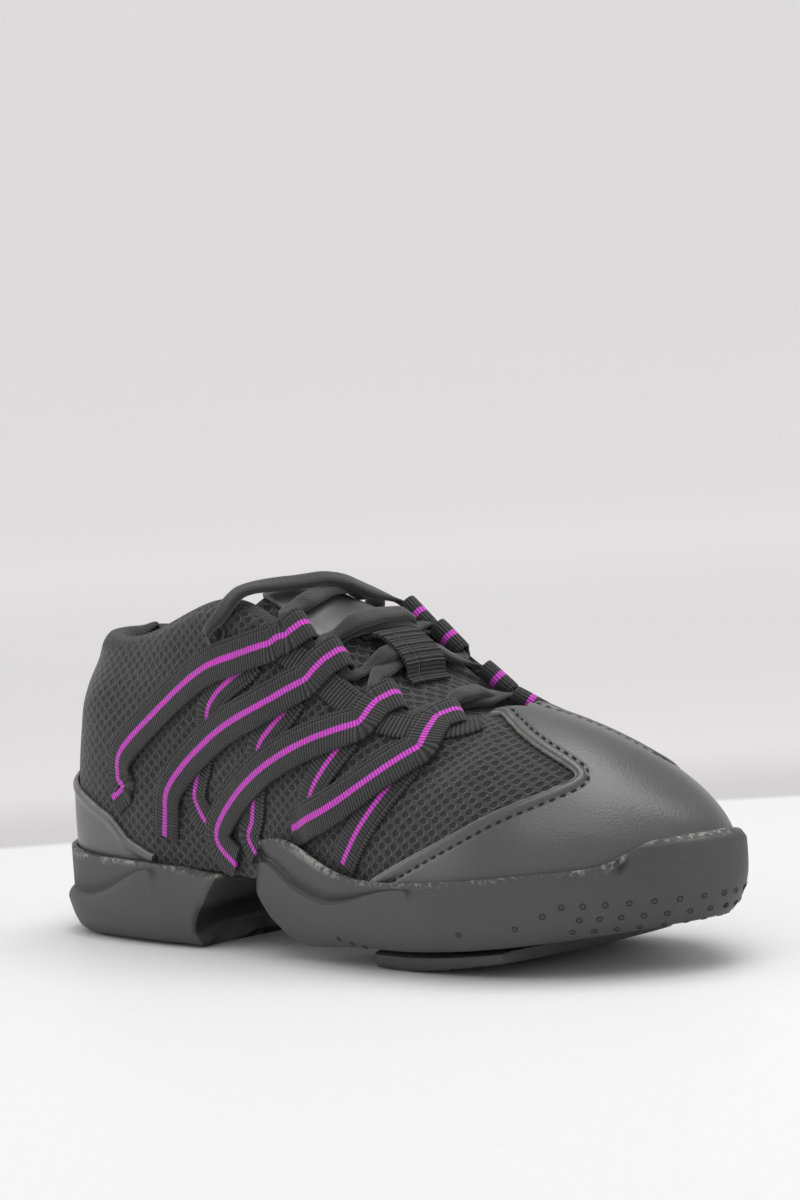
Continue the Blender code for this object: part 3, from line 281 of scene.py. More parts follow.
def below_top(u, distance):
    """v at a distance below the topline, measured down the form."""
    steps = np.linspace(1, .5, 61)
    u = np.atleast_1d(np.asarray(u, float))
    return np.array([np.interp(distance, runs(form(here, steps)), steps) for here in u])


def side_place(along, height, side):
    """u and v of the lateral form's point at a length and a height, mirrored for the other."""
    near, v = float(station_at(np.array(along), -1)), .5
    for _ in range(25):
        here = form(near, v)
        run = (form(near + .01, v) - form(near - .01, v)) / .02
        up = (form(near, v + .005) - form(near, v - .005)) / .01
        slopes = np.array([[run[0], up[0]], [run[2], up[2]]])
        move = np.linalg.solve(slopes, [along - here[0], height - here[2]])
        near += float(np.clip(move[0], -.5, .5))
        v = float(np.clip(v + np.clip(move[1], -.1, .1), .005, .995))
    return on_side(near, side), v


def smooth(value, start, end):
    t = np.clip((np.asarray(value, float) - start) / (end - start), 0, 1)
    return t * t * (3 - 2 * t)


def grid(rows, columns, wrap=False):
    """Quads of a grid of points that are numbered row by row."""
    faces = []
    for row in range(rows - 1):
        for one in range(columns if wrap else columns - 1):
            two = (one + 1) % columns
            faces.append((row * columns + one, row * columns + two,
                          (row + 1) * columns + two, (row + 1) * columns + one))
    return faces


def shell(outer, inner, faces):
    """Close the space between two sheets that have the same faces."""
    count = len(outer)
    sides = {}
    for face in faces:
        for a, b in zip(face, face[1:] + face[:1]):
            sides.setdefault(frozenset((a, b)), []).append((a, b))
    closed = list(faces) + [tuple(i + count for i in reversed(face)) for face in faces]
    closed += [(pair[0][1], pair[0][0], pair[0][0] + count, pair[0][1] + count)
               for pair in sides.values() if len(pair) == 1]
    return np.concatenate([outer, inner]), closed


BUMPER_RISE = 6 * MM       # step of the lip at the toe bumper
BUMPER_AT = 13.85          # station of that step
BUMPER_INNER_AT = 14.35    # and on the medial side


def lip_height(u):
    at = np.where(side_of(u) < 0, BUMPER_AT, BUMPER_INNER_AT)
    return LIP(u) + BUMPER_RISE * smooth(folded(u) - at, -.2, .2)


# Toe cap's rear edge: height along each column, and the length where it crosses it.
CAP_EDGE = ((.01, .624), (.11, .657), (.228, .730), (.283, .770), (.357, .806),
            (.45, .838), (.545, .857), (.61, .861), (.655, .850), (.70, .816),
            (.78, .762), (.87, .735), (1, .7155))
CAP_GAP = .65 * MM          # the cap is strongly curved, so it stands a little further off
# Heel counter's front edge: length and height.
COUNTER_EDGE = ((.02, .490), (.034, .480), (.095, .430), (.155, .372), (.186, .310),
                (.223, .274), (.25, .256))


Strap = namedtuple("Strap", "settle places")
# Centre lines of the webbing, as length and height on the shoe's side, from the throat down, and
# the share of its run from the sole after which each one settles from over the stays onto the mesh.
STRAPS = (
    Strap(.80, ((.4695, .922), (.460, .905), (.454, .893), (.4434, .886), (.401, .859),
                (.340, .814), (.261, .698), (.193, .576), (.178, .505), (.178, .478),
                (.186, .462), (.175, .444), (.163, .425))),
    Strap(.82, ((.521, .832), (.5132, .8034), (.509, .788), (.4953, .7732), (.433, .706),
                (.323, .568), (.273, .456), (.262, .380), (.258, .325))),
    Strap(2, ((.599, .720), (.5958, .689), (.594, .672), (.580, .6614), (.516, .613),
              (.433, .511), (.366, .374), (.368, .305), (.392, .265))),
    Strap(.84, ((.671, .672), (.6743, .628), (.676, .605), (.6686, .5922), (.635, .534),
                (.578, .450), (.508, .385))),
)
# The steeper pieces that pass under the straps.
STAYS = (
    ((.425, .850), (.404, .810), (.354, .725), (.345, .640), (.325, .501), (.318, .428),
     (.345, .352)),
    ((.494, .745), (.478, .690), (.447, .614), (.444, .550), (.430, .410), (.416, .350),
     (.430, .300)),
    ((.582, .640), (.568, .590), (.550, .528), (.541, .486), (.537, .455)),
    ((.668, .580), (.655, .510), (.629, .413), (.600, .300)),
)
LOOP_INNER = LACE_THICK + 2 * LOOP_CLEAR
LOOP_REACH = 4.8 * MM      # straight run of a loop, whose lace is pulled thin
LOOP_LEAN = (.55, .60, .30)    # how far a pulled loop keeps its rise, leans to the toe and inwards
STRAP_LIFT = 2 * GAP + WEBBING


def strap_line(places, side, step):
    """u and v of evenly spaced places along a smooth line through the given places."""
    found = np.array([side_place(along * LENGTH, height * INSTEP, side)
                      for along, height in places])
    curve_u = spline(found[:, 0], closed=False)
    curve_v = spline(found[:, 1], closed=False)
    dense = np.linspace(0, len(places) - 1, 160)
    run = runs(form(curve_u(dense), curve_v(dense)))
    count = max(4, int(round(run[-1] / step)))
    t = np.interp(np.linspace(0, run[-1], count + 1), run, dense)
    return curve_u(t), curve_v(t)


def loop_frame(places, side):
    """Where a strap leaves the throat edge: its place, and its up, out and over directions."""
    u, v = side_place(places[0][0] * LENGTH, places[0][1] * INSTEP, side)
    u = column_at(1.0, form(u, v)[0], side)
    edge = form(u, 1.0)
    rise, ahead, inward = LOOP_LEAN
    up = unit(unit(edge - form(u, .97)) * rise + np.array([ahead, -side * inward, 0]))
    out = normal(u, .985)
    out = unit(out - up * np.dot(out, up))
    return edge, up, out, np.cross(up, out)


PATCH_TO = 8.0             # station where the tongue's leather patch ends
TONGUE_ROWS = np.append(np.arange(6.2, 11.3, .42), 12.5)
TONGUE_TUCK = 7 * MM       # how far the tongue reaches under the throat edge
TONGUE_CROWN = 5 * MM      # how far its middle stands above its edges
TONGUE_TOP = 4 * MM        # extra rise at its free end
TONGUE_LEAN = 1.1          # its thickness measured straight down, per unit of thickness
TONGUE_SHARES = (.25, .5, .75)


def tongue_sheet(depth, shares=TONGUE_SHARES, stations=TONGUE_ROWS):
    """Points of the tongue, a row across for each station, depth below its top face."""
    rows = []
    for near in stations:
        line, edges = [], []
        front = near > RIDGE
        for side, tucks in ((-1, (1, 0)), (1, (0, 1))):
            u = on_side(near, side)
            for tuck in tucks:
                v = (.96 - .14 * tuck) if front else below_top(u, TONGUE_TUCK * tuck)[0]
                inset = wall_at(u, v) + (1.5 if front else 1) * GAP
                line.append(lifted(u, v, -(inset + depth)))
                if tuck == 0:
                    edges.append(lifted(u, v, -inset))
        if front:
            under = -(WALL + 1.5 * GAP + depth)
            top = [lifted(near, .985, under), lifted(near, 1.0, under),
                   lifted(STATIONS - near, .985, under)]
            top[1][1] = form(near, 1.0)[1]
        else:
            rise = TONGUE_CROWN * smooth(-near, -11.0, -8.0)
            rise += TONGUE_TOP * smooth(-near, -7.4, -6.0)
            top = []
            for t in shares:
                spot = edges[0] + (edges[1] - edges[0]) * t
                spot[2] += rise * 4 * t * (1 - t) - depth * TONGUE_LEAN
                top.append(spot)
        rows.append(line[:2] + top + line[2:])
    return rows


def tongue_line(x, lift):
    """Points on the tongue's middle line at lengths x, lifted off it."""
    rows = np.array(tongue_sheet(0)[:-1])[:, 3]
    slope = np.gradient(rows[:, 2], rows[:, 0])
    z = np.interp(x, rows[:, 0], rows[:, 2])
    tilt = np.interp(x, rows[:, 0], slope)
    return stack(x, 0 * x, z) + unit(stack(-tilt, 0 * x, 1 + 0 * x)) * np.asarray(lift)[..., None]


KEEPER_AT = 143 * MM       # measured from the heel
KEEPER_LENGTH = 21 * MM
KEEPER_WIDTH = 16 * MM
KEEPER_ROOM = LACE_THICK + 5 * GAP


def clear_tongue(centre):
    """Move a lace's middle line off the tongue and its patch."""
    sheet = np.array(tongue_sheet(0)[:-1])
    rows, columns = sheet.shape[:2]
    a = np.linspace(0, rows - 1, 8 * rows)
    b = np.linspace(0, columns - 1, 8 * columns)
    fine = np.stack([[np.interp(b, np.arange(columns), row) for row in np.array(
        [np.interp(a, np.arange(rows), sheet[:, j, k]) for j in range(columns)]).T]
        for k in range(3)], axis=-1)
    out = np.cross(np.gradient(fine, axis=1), np.gradient(fine, axis=0))
    out = unit(out * np.sign(out[..., 2:]))
    patch = np.repeat(a < np.sum(TONGUE_ROWS < PATCH_TO) - .5, len(b))
    fine, out = fine.reshape(-1, 3), out.reshape(-1, 3)
    for i, point in enumerate(centre):
        apart = np.linalg.norm(fine - point, axis=1)
        near = np.argsort(apart)[:1]
        within = apart < LACE_WIDTH * .75
        spots = np.flatnonzero(within) if within.any() else near
        need = LACE_THICK / 2 + 2 * GAP + np.where(patch[spots], LEATHER + GAP, 0)
        short = need - np.sum((point - fine[spots]) * out[near[0]], axis=1)
        if apart[near[0]] < LACE_WIDTH * 1.5:
            centre[i] = point + out[near[0]] * max(0, short.max())
    return centre


def tongue_face(point):
    """Which way the tongue's middle faces at a point's length."""
    here = tongue_line(np.array([point[0]]), np.array([0.0]))
    above = tongue_line(np.array([point[0]]), np.array([MM]))
    return (above - here)[0] / MM


# Loops that the lace passes, from the toe: which way it goes through (1 to the heel) and how
# far its stretch to the next one rises over a straight line, in millimetres.
Pass = namedtuple("Pass", "loop side way rise")
LACE_PASSES = (Pass(4, 1, -1, .6), Pass(4, -1, 1, 1.2), Pass(3, 1, 1, None), Pass(2, -1, 1, 2.4),
               Pass(1, 1, 1, 5))
CROSS_RISE = 3.0           # rise of the lace's second end, which passes under the first
LACE_PULL = 12 * MM        # how far a stop's direction carries on
LACE_SIT = .70 * MM        # how far the lace sits above a loop's middle
LACE_SHARES = np.array([-1, -.5, 0, .5, 1])
PINCH = .54                # the lace's share of its full size where a loop holds it
PINCH_RUN = (8.5 * MM, 17 * MM)
EYELET_PLACE = (5.76, .873)


def loop_centre(number, side):
    """The lace's middle in a loop, half its run through it, and which way the loop faces."""
    edge, up, face, over = loop_frame(STRAPS[number - 1].places, side)
    u = column_at(1.0, edge[0], side)
    edge_run = form(u + .1 * side, 1.0) - form(u - .1 * side, 1.0)
    edge_run -= face * np.dot(edge_run, face)
    run = -edge_run / np.linalg.norm(edge_run) * np.sign(edge_run[0]) - over * np.sign(over[0])
    run *= (STRAP_WIDTH / 2 + 1.2 * MM) / np.linalg.norm(run)
    rise = LOOP_REACH / 2 + LACE_SIT
    return edge + face * (GAP + STRAP_LIFT - LOOP_INNER / 2) + up * rise, run, face


def through_loop(number, side, way):
    centre, run, face = loop_centre(number, side)
    return [(centre + run * share, face) for share in LACE_SHARES * way]


def top_end(side):
    """The lace's last stretch: over the topline and down to the top eyelet."""
    def place(near, v):
        u = on_side(near, side)
        return form(u, v), normal(u, min(v, .98))

    up = np.array([0, 0, 1.0])
    near = EYELET_PLACE[0]
    edge, edge_out = place(near + .5, 1.0)
    beside, beside_out = place(near + .24, .95)
    eye, axis = place(near, EYELET_PLACE[1])
    return [(edge + up * 4.2 * MM + edge_out * .6 * MM, up + edge_out),
            (beside + beside_out * 3.2 * MM, beside_out),
            (eye + axis * 3.6 * MM, axis), (eye + axis * 1.0 * MM, axis)]


def crossing(start, end, rise):
    """Stops of a stretch over the tongue; with no rise it passes under the keeper."""
    if rise is None:
        spots = [tongue_line(np.array([KEEPER_AT]), np.array([GAP + LACE_THICK / 2]))[0]]
    else:
        spots = [start + (end - start) * t + np.array([0, 0, rise * MM * 4 * t * (1 - t)])
                 for t in (.25, .5, .75)]
    return [(spot, tongue_face(spot)) for spot in spots]


def route(stops, step):
    """Evenly spaced places and faces on a smooth line through the stops."""
    rows = np.array([np.concatenate([spot, face / np.linalg.norm(face)])
                     for spot, face in stops])
    gap = np.linalg.norm(np.diff(rows[:, :3], axis=0), axis=1)[:, None]
    slope = np.diff(rows, axis=0) / gap
    inner = (slope[:-1] * gap[1:] + slope[1:] * gap[:-1]) / (gap[:-1] + gap[1:])
    lean = np.concatenate([slope[:1], inner, slope[-1:]])
    knots = np.append(0, np.cumsum(gap[:, 0]))
    count = int(round(knots[-1] / step))
    dense = np.linspace(0, knots[-1], 20 * count)

    def at(run):
        i = np.clip(np.searchsorted(knots, run) - 1, 0, len(knots) - 2)
        t = (run - knots[i])[:, None] / gap[i]
        pull = np.minimum(gap[i], LACE_PULL)
        return ((1 + 2 * t) * (1 - t) ** 2 * rows[i] + t * (1 - t) ** 2 * pull * lean[i]
                + t ** 2 * (3 - 2 * t) * rows[i + 1] - t ** 2 * (1 - t) * pull * lean[i + 1])

    run = runs(at(dense)[:, :3])
    found = at(np.interp(np.linspace(0, run[-1], count + 1), run, dense))
    return found[:, :3], found[:, 3:], np.linspace(run[-1], 0, count + 1)


# Where the packed model's origin lies, measured from the heel.
ORIGIN = np.array([130.738, -.7708, 0]) * MM
# Soft creases in the mesh: two ends as length and height on the shoe's side, how
# wide and how deep in millimetres. A positive depth is a ridge.
Crease = namedtuple("Crease", "name start end width depth")
CREASES = (
    Crease("under_collar", (.02, .80), (.21, .845), 5.0, -.9),
    Crease("heel_fold", (.05, .66), (.15, .74), 5.0, .6),
    Crease("ankle_dip", (.26, .86), (.38, .93), 5.0, -.6),
    Crease("quarter_ridge", (.235, .56), (.33, .715), 3.2, .7),
    Crease("quarter_trough", (.215, .44), (.27, .56), 3.4, -.6),
    Crease("waist_ridge", (.315, .44), (.43, .60), 3.2, .6),
    Crease("waist_trough", (.29, .36), (.33, .46), 3.4, -.6),
    Crease("mid_ridge", (.42, .42), (.53, .57), 3.0, .6),
    Crease("mid_trough", (.40, .33), (.45, .42), 3.0, -.5),
    Crease("ball_ridge", (.55, .44), (.61, .53), 3.0, .5),
    Crease("flex_trough", (.665, .50), (.735, .62), 4.5, -.7),
    Crease("flex_ridge", (.70, .46), (.775, .60), 4.0, .5),
)


def relief(u, v):
    """How far the creases stand out of the form at a place, in metres."""
    spot = form(u, v)[..., ::2]
    total = np.zeros(spot.shape[:-1])
    for crease in CREASES:
        start = np.array(crease.start) * [LENGTH, INSTEP]
        run = np.array(crease.end) * [LENGTH, INSTEP] - start
        share = np.clip((spot - start) @ run / (run @ run), -.2, 1.2)
        apart = np.linalg.norm(spot - start - share[..., None] * run, axis=-1)
        fade = np.clip(1.2 - np.abs(2 * share - 1), 0, 1)
        total += crease.depth * MM * fade * np.exp(-(apart / (crease.width * MM)) ** 2)
    return total * (1 - smooth(v, .90, .97))


def skin(u, v, offset=0.0):
    """The upper's outer surface with its creases, moved out by an offset."""
    return lifted(u, v, relief(u, v) + offset)


def nearest_places(targets, u, v, turns=14):
    """Places of the form's points nearest to the targets, from first guesses."""
    u, v = np.array(u, float), np.array(v, float)
    for _ in range(turns):
        short = targets - form(u, v)
        along = (form(u + .01, v) - form(u - .01, v)) / .02
        up = (form(u, v + .005) - form(u, v - .005)) / .01
        aa, bb, ab = (np.sum(x * y, axis=-1) for x, y in ((along, along), (up, up), (along, up)))
        a, b = np.sum(along * short, axis=-1), np.sum(up * short, axis=-1)
        spread = np.maximum(aa * bb - ab * ab, 1e-18)
        u += np.clip((a * bb - b * ab) / spread, -.6, .6)
        v += np.clip((b * aa - a * ab) / spread, -.1, .1)
    return u, v


# Making pieces

def alone(thing):
    """Select only this object."""
    bpy.ops.object.select_all(action="DESELECT")
    bpy.context.view_layer.objects.active = thing
    thing.select_set(True)


def modify(thing, kind, **settings):
    """Give an object one modifier and apply it."""
    alone(thing)
    modifier = thing.modifiers.new(kind.title(), kind)
    for key, value in settings.items():
        setattr(modifier, key, value)
    bpy.ops.object.modifier_apply(modifier=modifier.name)


def smooth_by_angle(thing, degrees):
    alone(thing)
    bpy.ops.object.shade_smooth_by_angle(angle=np.radians(degrees))


def template(thing):
    """The points and faces of a helper object, which is taken away."""
    points = np.array([vert.co[:] for vert in thing.data.vertices])
    faces = [tuple(face.vertices) for face in thing.data.polygons]
    bpy.data.objects.remove(thing)
    return points, faces


def stamped(name, copies, faces):
    """One piece of many copies of the same faces, each with its own points."""
    size = len(copies[0])
    joined = [tuple(i + size * number for i in face) for number in range(len(copies))
              for face in faces]
    return piece(name, np.concatenate(copies), joined, angle=60, merge=0)


def set_places(mesh, places):
    """Store each vertex's place on the cloth, in metres, as the UV map that finishes read."""
    layer = mesh.uv_layers.new(name="places")
    corner = np.empty(len(mesh.loops), np.int32)
    mesh.loops.foreach_get("vertex_index", corner)
    layer.data.foreach_set("uv", np.asarray(places, np.float32)[corner].ravel())


def set_mark(mesh, name, values):
    """Store one number for each vertex, which a finish reads by its name."""
    mark = mesh.attributes.new(name, "FLOAT", "POINT")
    mark.data.foreach_set("value", np.asarray(values, np.float32))


def fit(thing, finish, nodes=()):
    """Give a finished piece its material, body, slot and the CAD nodes that it stands for."""
    thing.data.materials.clear()
    thing.data.materials.append(finish)
    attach(thing, "root")
    if nodes:
        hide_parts(*nodes)
    return thing


def piece(name, points, faces, places=None, marks=None, angle=40, merge=1e-6):
    """Make one object from points counted from the heel, its faces turned outwards."""
    mesh = bpy.data.meshes.new(name)
    mesh.from_pydata((np.asarray(points) - ORIGIN).tolist(), [],
                     [tuple(int(i) for i in face) for face in faces])
    if places is not None:
        set_places(mesh, places)
    for key, values in (marks or {}).items():
        set_mark(mesh, key, values)
    work = bmesh.new()
    work.from_mesh(mesh)
    if merge:
        bmesh.ops.remove_doubles(work, verts=work.verts, dist=merge)
    loose = [vert for vert in work.verts if not vert.link_faces]
    bmesh.ops.delete(work, geom=loose, context="VERTS")
    bmesh.ops.recalc_face_normals(work, faces=work.faces)
    work.to_mesh(mesh)
    work.free()
    thing = bpy.data.objects.new(name, mesh)
    bpy.context.collection.objects.link(thing)
    smooth_by_angle(thing, angle)
    return thing


def thick_sheet(name, outer, inner, places=None, marks=None, angle=40):
    """A closed piece between two grids of points, one row after another."""
    points, faces = shell(outer.reshape(-1, 3), inner.reshape(-1, 3), grid(*outer.shape[:2]))
    if places is not None:
        places = np.tile(places.reshape(-1, 2), (2, 1))
    marks = {key: np.tile(np.ravel(value), 2) for key, value in (marks or {}).items()}
    return piece(name, points, faces, places, marks, angle)


# Finishes

class Finish:
    """A material whose nodes are added and joined with short calls."""

    def __init__(self, name, roughness, **sockets):
        self.material = bpy.data.materials.new(name)
        self.material.use_nodes = True
        self.tree = self.material.node_tree
        self.shader = self.tree.nodes["Principled BSDF"]
        self.set_sockets(Roughness=roughness, **sockets)

    def set_sockets(self, **sockets):
        for key, value in sockets.items():
            self.put(self.shader.inputs[key.replace("_", " ")], value)

    def put(self, socket, value):
        if isinstance(value, bpy.types.NodeSocket):
            self.tree.links.new(value, socket)
        elif socket.type == "RGBA":
            socket.default_value = (*value, 1)
        else:
            socket.default_value = value

    def node(self, kind, inputs=None, **settings):
        made = self.tree.nodes.new(kind)
        for key, value in settings.items():
            setattr(made, key, value)
        for key, value in (inputs or {}).items():
            self.put(made.inputs[key], value)
        return made

    def math(self, operation, *values):
        return self.node("ShaderNodeMath", dict(enumerate(values)), operation=operation).outputs[0]

    def times(self, one, two):
        return self.math("MULTIPLY", one, two)

    def plus(self, one, two):
        return self.math("ADD", one, two)

    def scaled(self, colour, share):
        """A colour made brighter or darker by a share."""
        return self.node("ShaderNodeVectorMath", {0: colour, 3: share},
                         operation="SCALE").outputs[0]

    def ramp(self, value, low, high, start=0.0, end=1.0):
        """A value carried smoothly from one range to another."""
        return self.node("ShaderNodeMapRange", {0: value, 1: low, 2: high, 3: start, 4: end},
                         interpolation_type="SMOOTHSTEP").outputs[0]

    def cloud(self, value, start, end):
        """A noise's middle range carried smoothly to another range."""
        return self.ramp(value, .3, .7, start, end)

    def mix(self, share, one, two):
        return self.node("ShaderNodeMix", {0: share, 6: one, 7: two}, data_type="RGBA").outputs[2]

    def blend(self, share, one, two):
        return self.node("ShaderNodeMix", {0: share, 2: one, 3: two}, data_type="FLOAT").outputs[0]

    def cloth_place(self, scale=(1, 1), turn=0.0):
        """The piece's place on its cloth, scaled and then turned."""
        place = self.node("ShaderNodeUVMap", uv_map="places").outputs[0]
        return self.node("ShaderNodeMapping", {
            "Vector": place, "Scale": (*scale, 1), "Rotation": (0, 0, np.radians(turn))}).outputs[0]

    def lattice(self, across, up, spread):
        """Distance from the middles of cells that are set in slanting rows."""
        scale = 2 ** .5 / across, 2 ** .5 / up
        return self.cells(self.cloth_place(scale, 45), spread=spread, flat=True)

    def object_place(self, scale=(1, 1, 1)):
        place = self.node("ShaderNodeTexCoord").outputs["Object"]
        return self.node("ShaderNodeMapping", {"Vector": place, "Scale": scale}).outputs[0]

    def mark(self, name):
        return self.node("ShaderNodeAttribute", attribute_name=name).outputs["Fac"]

    def noise(self, place, scale=1.0, detail=2.0, roughness=.5):
        return self.node("ShaderNodeTexNoise", {"Vector": place, "Scale": scale, "Detail": detail,
                                                "Roughness": roughness}).outputs["Fac"]

    def cells(self, place, scale=1.0, spread=1.0, flat=False):
        return self.node("ShaderNodeTexVoronoi", {
            "Vector": place, "Scale": scale, "Randomness": spread},
            voronoi_dimensions="2D" if flat else "3D").outputs["Distance"]

    def split(self, place):
        return self.node("ShaderNodeSeparateXYZ", {0: place}).outputs

    def finish(self, colour, roughness, height, depth):
        """The material, with its colour, its roughness and a relief of a depth in metres."""
        bump = self.node("ShaderNodeBump", {"Height": height, "Distance": depth, "Strength": 1.0})
        self.set_sockets(Base_Color=colour, Roughness=roughness, Normal=bump.outputs[0])
        return self.material


# Near-black painted into the mesh's holes: painted shade of the shoe's inside seen through them.
HOLE_SHADE = (.0015, .0015, .0016)
SEAM_SHADE = (.003, .003, .0032)
SCUFF_TONE = (.22, .22, .22)
KNIT_PITCH = 1.5 * MM, 1.1 * MM        # of the lining's knit, along and up
LACE_PITCH = 1.1 * MM, .8 * MM         # of the lace's stitches
WEBBING_SEAM = 1.3 * MM                # from the webbing's edge to its seam


def open_mesh(name, colour, pitch, hole=.36):
    """Knitted mesh with oblong holes in slanting rows; a fine knit where the lining shows."""
    made = Finish(name, .86, Sheen_Weight=.25, Sheen_Roughness=.5)
    wobble = made.math("SUBTRACT", made.noise(made.cloth_place((90, 90)), detail=1), .5)
    apart = made.plus(made.lattice(*pitch, .14), made.times(wobble, .10))
    solid = made.ramp(apart, hole - .06, hole + .06)
    lining = made.ramp(made.mark("lining"), .35, .65)
    yarn = made.noise(made.cloth_place((2600, 900), 35))
    body = made.blend(lining, solid, made.ramp(made.lattice(*KNIT_PITCH, .1), .12, .5))
    shade = made.times(made.plus(made.times(yarn, 1.1), .45), made.blend(lining, 1.0, .8))
    # The holes, and the knit's gaps on the lining, take the painted shade colour.
    tint = made.mix(body, HOLE_SHADE, made.scaled(colour, shade))
    return made.finish(tint, .86, made.plus(body, made.times(yarn, .22)), .7 * MM)


def webbing(name, colour, stripe, width, rib, stripe_half):
    """Ribbed webbing, its place counted along it and from its middle line."""
    made = Finish(name, .78, Sheen_Weight=.2, Sheen_Roughness=.4)
    place = made.split(made.cloth_place())
    drift = made.times(made.math("SUBTRACT", made.noise(
        made.cloth_place((260, 260)), detail=1), .5), .5 * MM)
    wave = made.math("SINE", made.times(made.plus(place[0], drift), 2 * np.pi / rib))
    ribs = made.ramp(wave, -.5, .6)
    off = made.math("ABSOLUTE", made.plus(place[1], made.times(drift, .6)))
    bright = made.ramp(off, stripe_half + .22 * MM, stripe_half - .12 * MM)
    seam = made.math("ABSOLUTE", made.plus(place[1], width / 2 - WEBBING_SEAM))
    groove = made.ramp(seam, .42 * MM, .12 * MM)
    yarn = made.noise(made.cloth_place((1500, 3600)))
    fuzz = made.plus(made.times(yarn, .8), .6)
    # Rib tops are painted lighter and the hollows darker, on the webbing and on the stripe: painted
    # highlight and shade over the ribs' bump.
    body = made.scaled(colour, made.times(fuzz, made.ramp(ribs, 0, 1, .25, 2.0)))
    vivid = made.scaled(stripe, made.times(made.ramp(yarn, 0, 1, .8, 1.15),
                                           made.ramp(ribs, 0, 1, .50, 1.12)))
    tint = made.mix(groove, made.mix(bright, body, vivid), SEAM_SHADE)
    height = made.math("SUBTRACT", made.plus(ribs, made.times(yarn, .25)), made.times(groove, .8))
    return made.finish(tint, .78, height, .6 * MM)


def leather(name, colour, edge_colour):
    """Satin leather: fine grain, cloudy tone, and a pale worn line on its cut edge."""
    made = Finish(name, .42, Coat_Weight=.32, Coat_Roughness=.3)
    place = made.object_place()
    cloud = made.noise(place, 26, 3)
    rim = made.times(made.ramp(made.mark("edge"), .55, .95),
                     made.ramp(made.noise(place, 380), .30, .62, .35, 1))
    tint = made.mix(rim, made.scaled(colour, made.cloud(cloud, .86, 1.14)), edge_colour)
    rough = made.plus(made.cloud(cloud, .32, .42), made.times(rim, .2))
    height = made.plus(made.times(made.cells(place, 1500), .7),
                       made.times(made.noise(place, 2600), .3))
    return made.finish(tint, rough, height, .12 * MM)


def moulded_rubber(name, colour, glue_colour):
    """Matte moulded rubber: cloudy, faintly pitted, dirty grooves, glue and scuffs on its lip."""
    made = Finish(name, .52, Specular_IOR_Level=.42)
    place = made.object_place()
    cloud = made.noise(place, 32, 4)
    ragged = made.plus(made.noise(place, 620, 3, .7), made.times(made.noise(place, 55), .7))
    glue = made.times(made.mark("glue"), made.ramp(ragged, .78, .98))
    scuff = made.ramp(made.noise(made.object_place((180, 180, 700)), detail=3), .66, .74, 0, .112)
    # The rubber grows darker towards the floor: painted shade near the ground.
    low = made.ramp(made.split(place)[2], 0, 6 * MM, .82, 1.0)
    # Inner corners of the mould are painted much darker: painted shade in the grooves.
    groove_shade = made.ramp(made.mark("groove"), .55, 1, 1, .22)
    tone = made.times(made.cloud(cloud, .88, 1.1), made.times(low, groove_shade))
    tint = made.mix(glue, made.mix(scuff, made.scaled(colour, tone), SCUFF_TONE), glue_colour)
    height = made.plus(made.times(made.noise(place, 1500), .5), made.times(glue, 1.2))
    return made.finish(tint, made.cloud(cloud, .48, .6), height, .22 * MM)


def lace_knit(name, colour):
    """Soft tubular knit: fine slanting stitches along the lace."""
    made = Finish(name, .85, Sheen_Weight=.35, Sheen_Roughness=.45)
    fine = made.lattice(*LACE_PITCH, .12)
    fuzz = made.noise(made.cloth_place((1800, 1800)))
    cloud = made.noise(made.cloth_place((60, 60)))
    tone = made.times(made.ramp(fine, .1, .6, .62, 1.1),
                      made.times(made.ramp(fuzz, .2, .8, .8, 1.2), made.cloud(cloud, .85, 1.15)))
    return made.finish(made.scaled(colour, tone), .85, made.plus(fine, made.times(fuzz, .5)),
                       .28 * MM)


def fine_cloth(name, colour, scale=1100):
    """Close cloth on the piece's own coordinates: insole, thread and the dark behind a hole."""
    made = Finish(name, .85, Sheen_Weight=.2)
    place = made.object_place()
    weave = made.cells(place, scale, .3)
    tone = made.times(made.ramp(weave, 0, .7, .65, 1.15),
                      made.cloud(made.noise(place, 60), .85, 1.15))
    return made.finish(made.scaled(colour, tone), .85, weave, .2 * MM)


def hard_plastic(name, colour, roughness):
    """Satin plastic with a faint cloud and fine wear."""
    made = Finish(name, roughness)
    cloud = made.noise(made.object_place(), 700, 3)
    return made.finish(made.scaled(colour, made.cloud(cloud, .8, 1.25)),
                       made.cloud(cloud, roughness - .06, roughness + .1), cloud, .05 * MM)


FLOOR_RADIUS = 1.285       # the pale floor's disc, whose middle lies in front of the shoe
FLOOR_MIDDLE = (.712, -.702, 0)
FLOOR_RIM = .015           # where the floor turns to the band's painted shade, and how soon it pales again beyond that
SHADE_BAND = .02, .20
GLOW_RUN = 1.7             # how far beyond the disc the backdrop comes to its full glow


def studio_floor(name, near, band, far, glow):
    """Pale floor that greys a little way behind the shoe and pales into a lit backdrop."""
    made = Finish(name, .55, Specular_IOR_Level=.25)
    place = made.object_place()
    away = made.node("ShaderNodeVectorMath", {0: place, 1: FLOOR_MIDDLE}, operation="DISTANCE")
    past = made.math("SUBTRACT", away.outputs["Value"], FLOOR_RADIUS)
    # The grey band is painted shade along the floor's far edge.
    tint = made.mix(made.ramp(past, 0, FLOOR_RIM), near, band)
    tint = made.mix(made.ramp(past, *SHADE_BAND), tint, far)
    made.set_sockets(Base_Color=made.scaled(tint, made.cloud(made.noise(place, 220), .992, 1.008)),
                     Emission_Color=made.scaled(far, made.ramp(past, 0, GLOW_RUN)),
                     Emission_Strength=glow)
    return made.material


# Upper

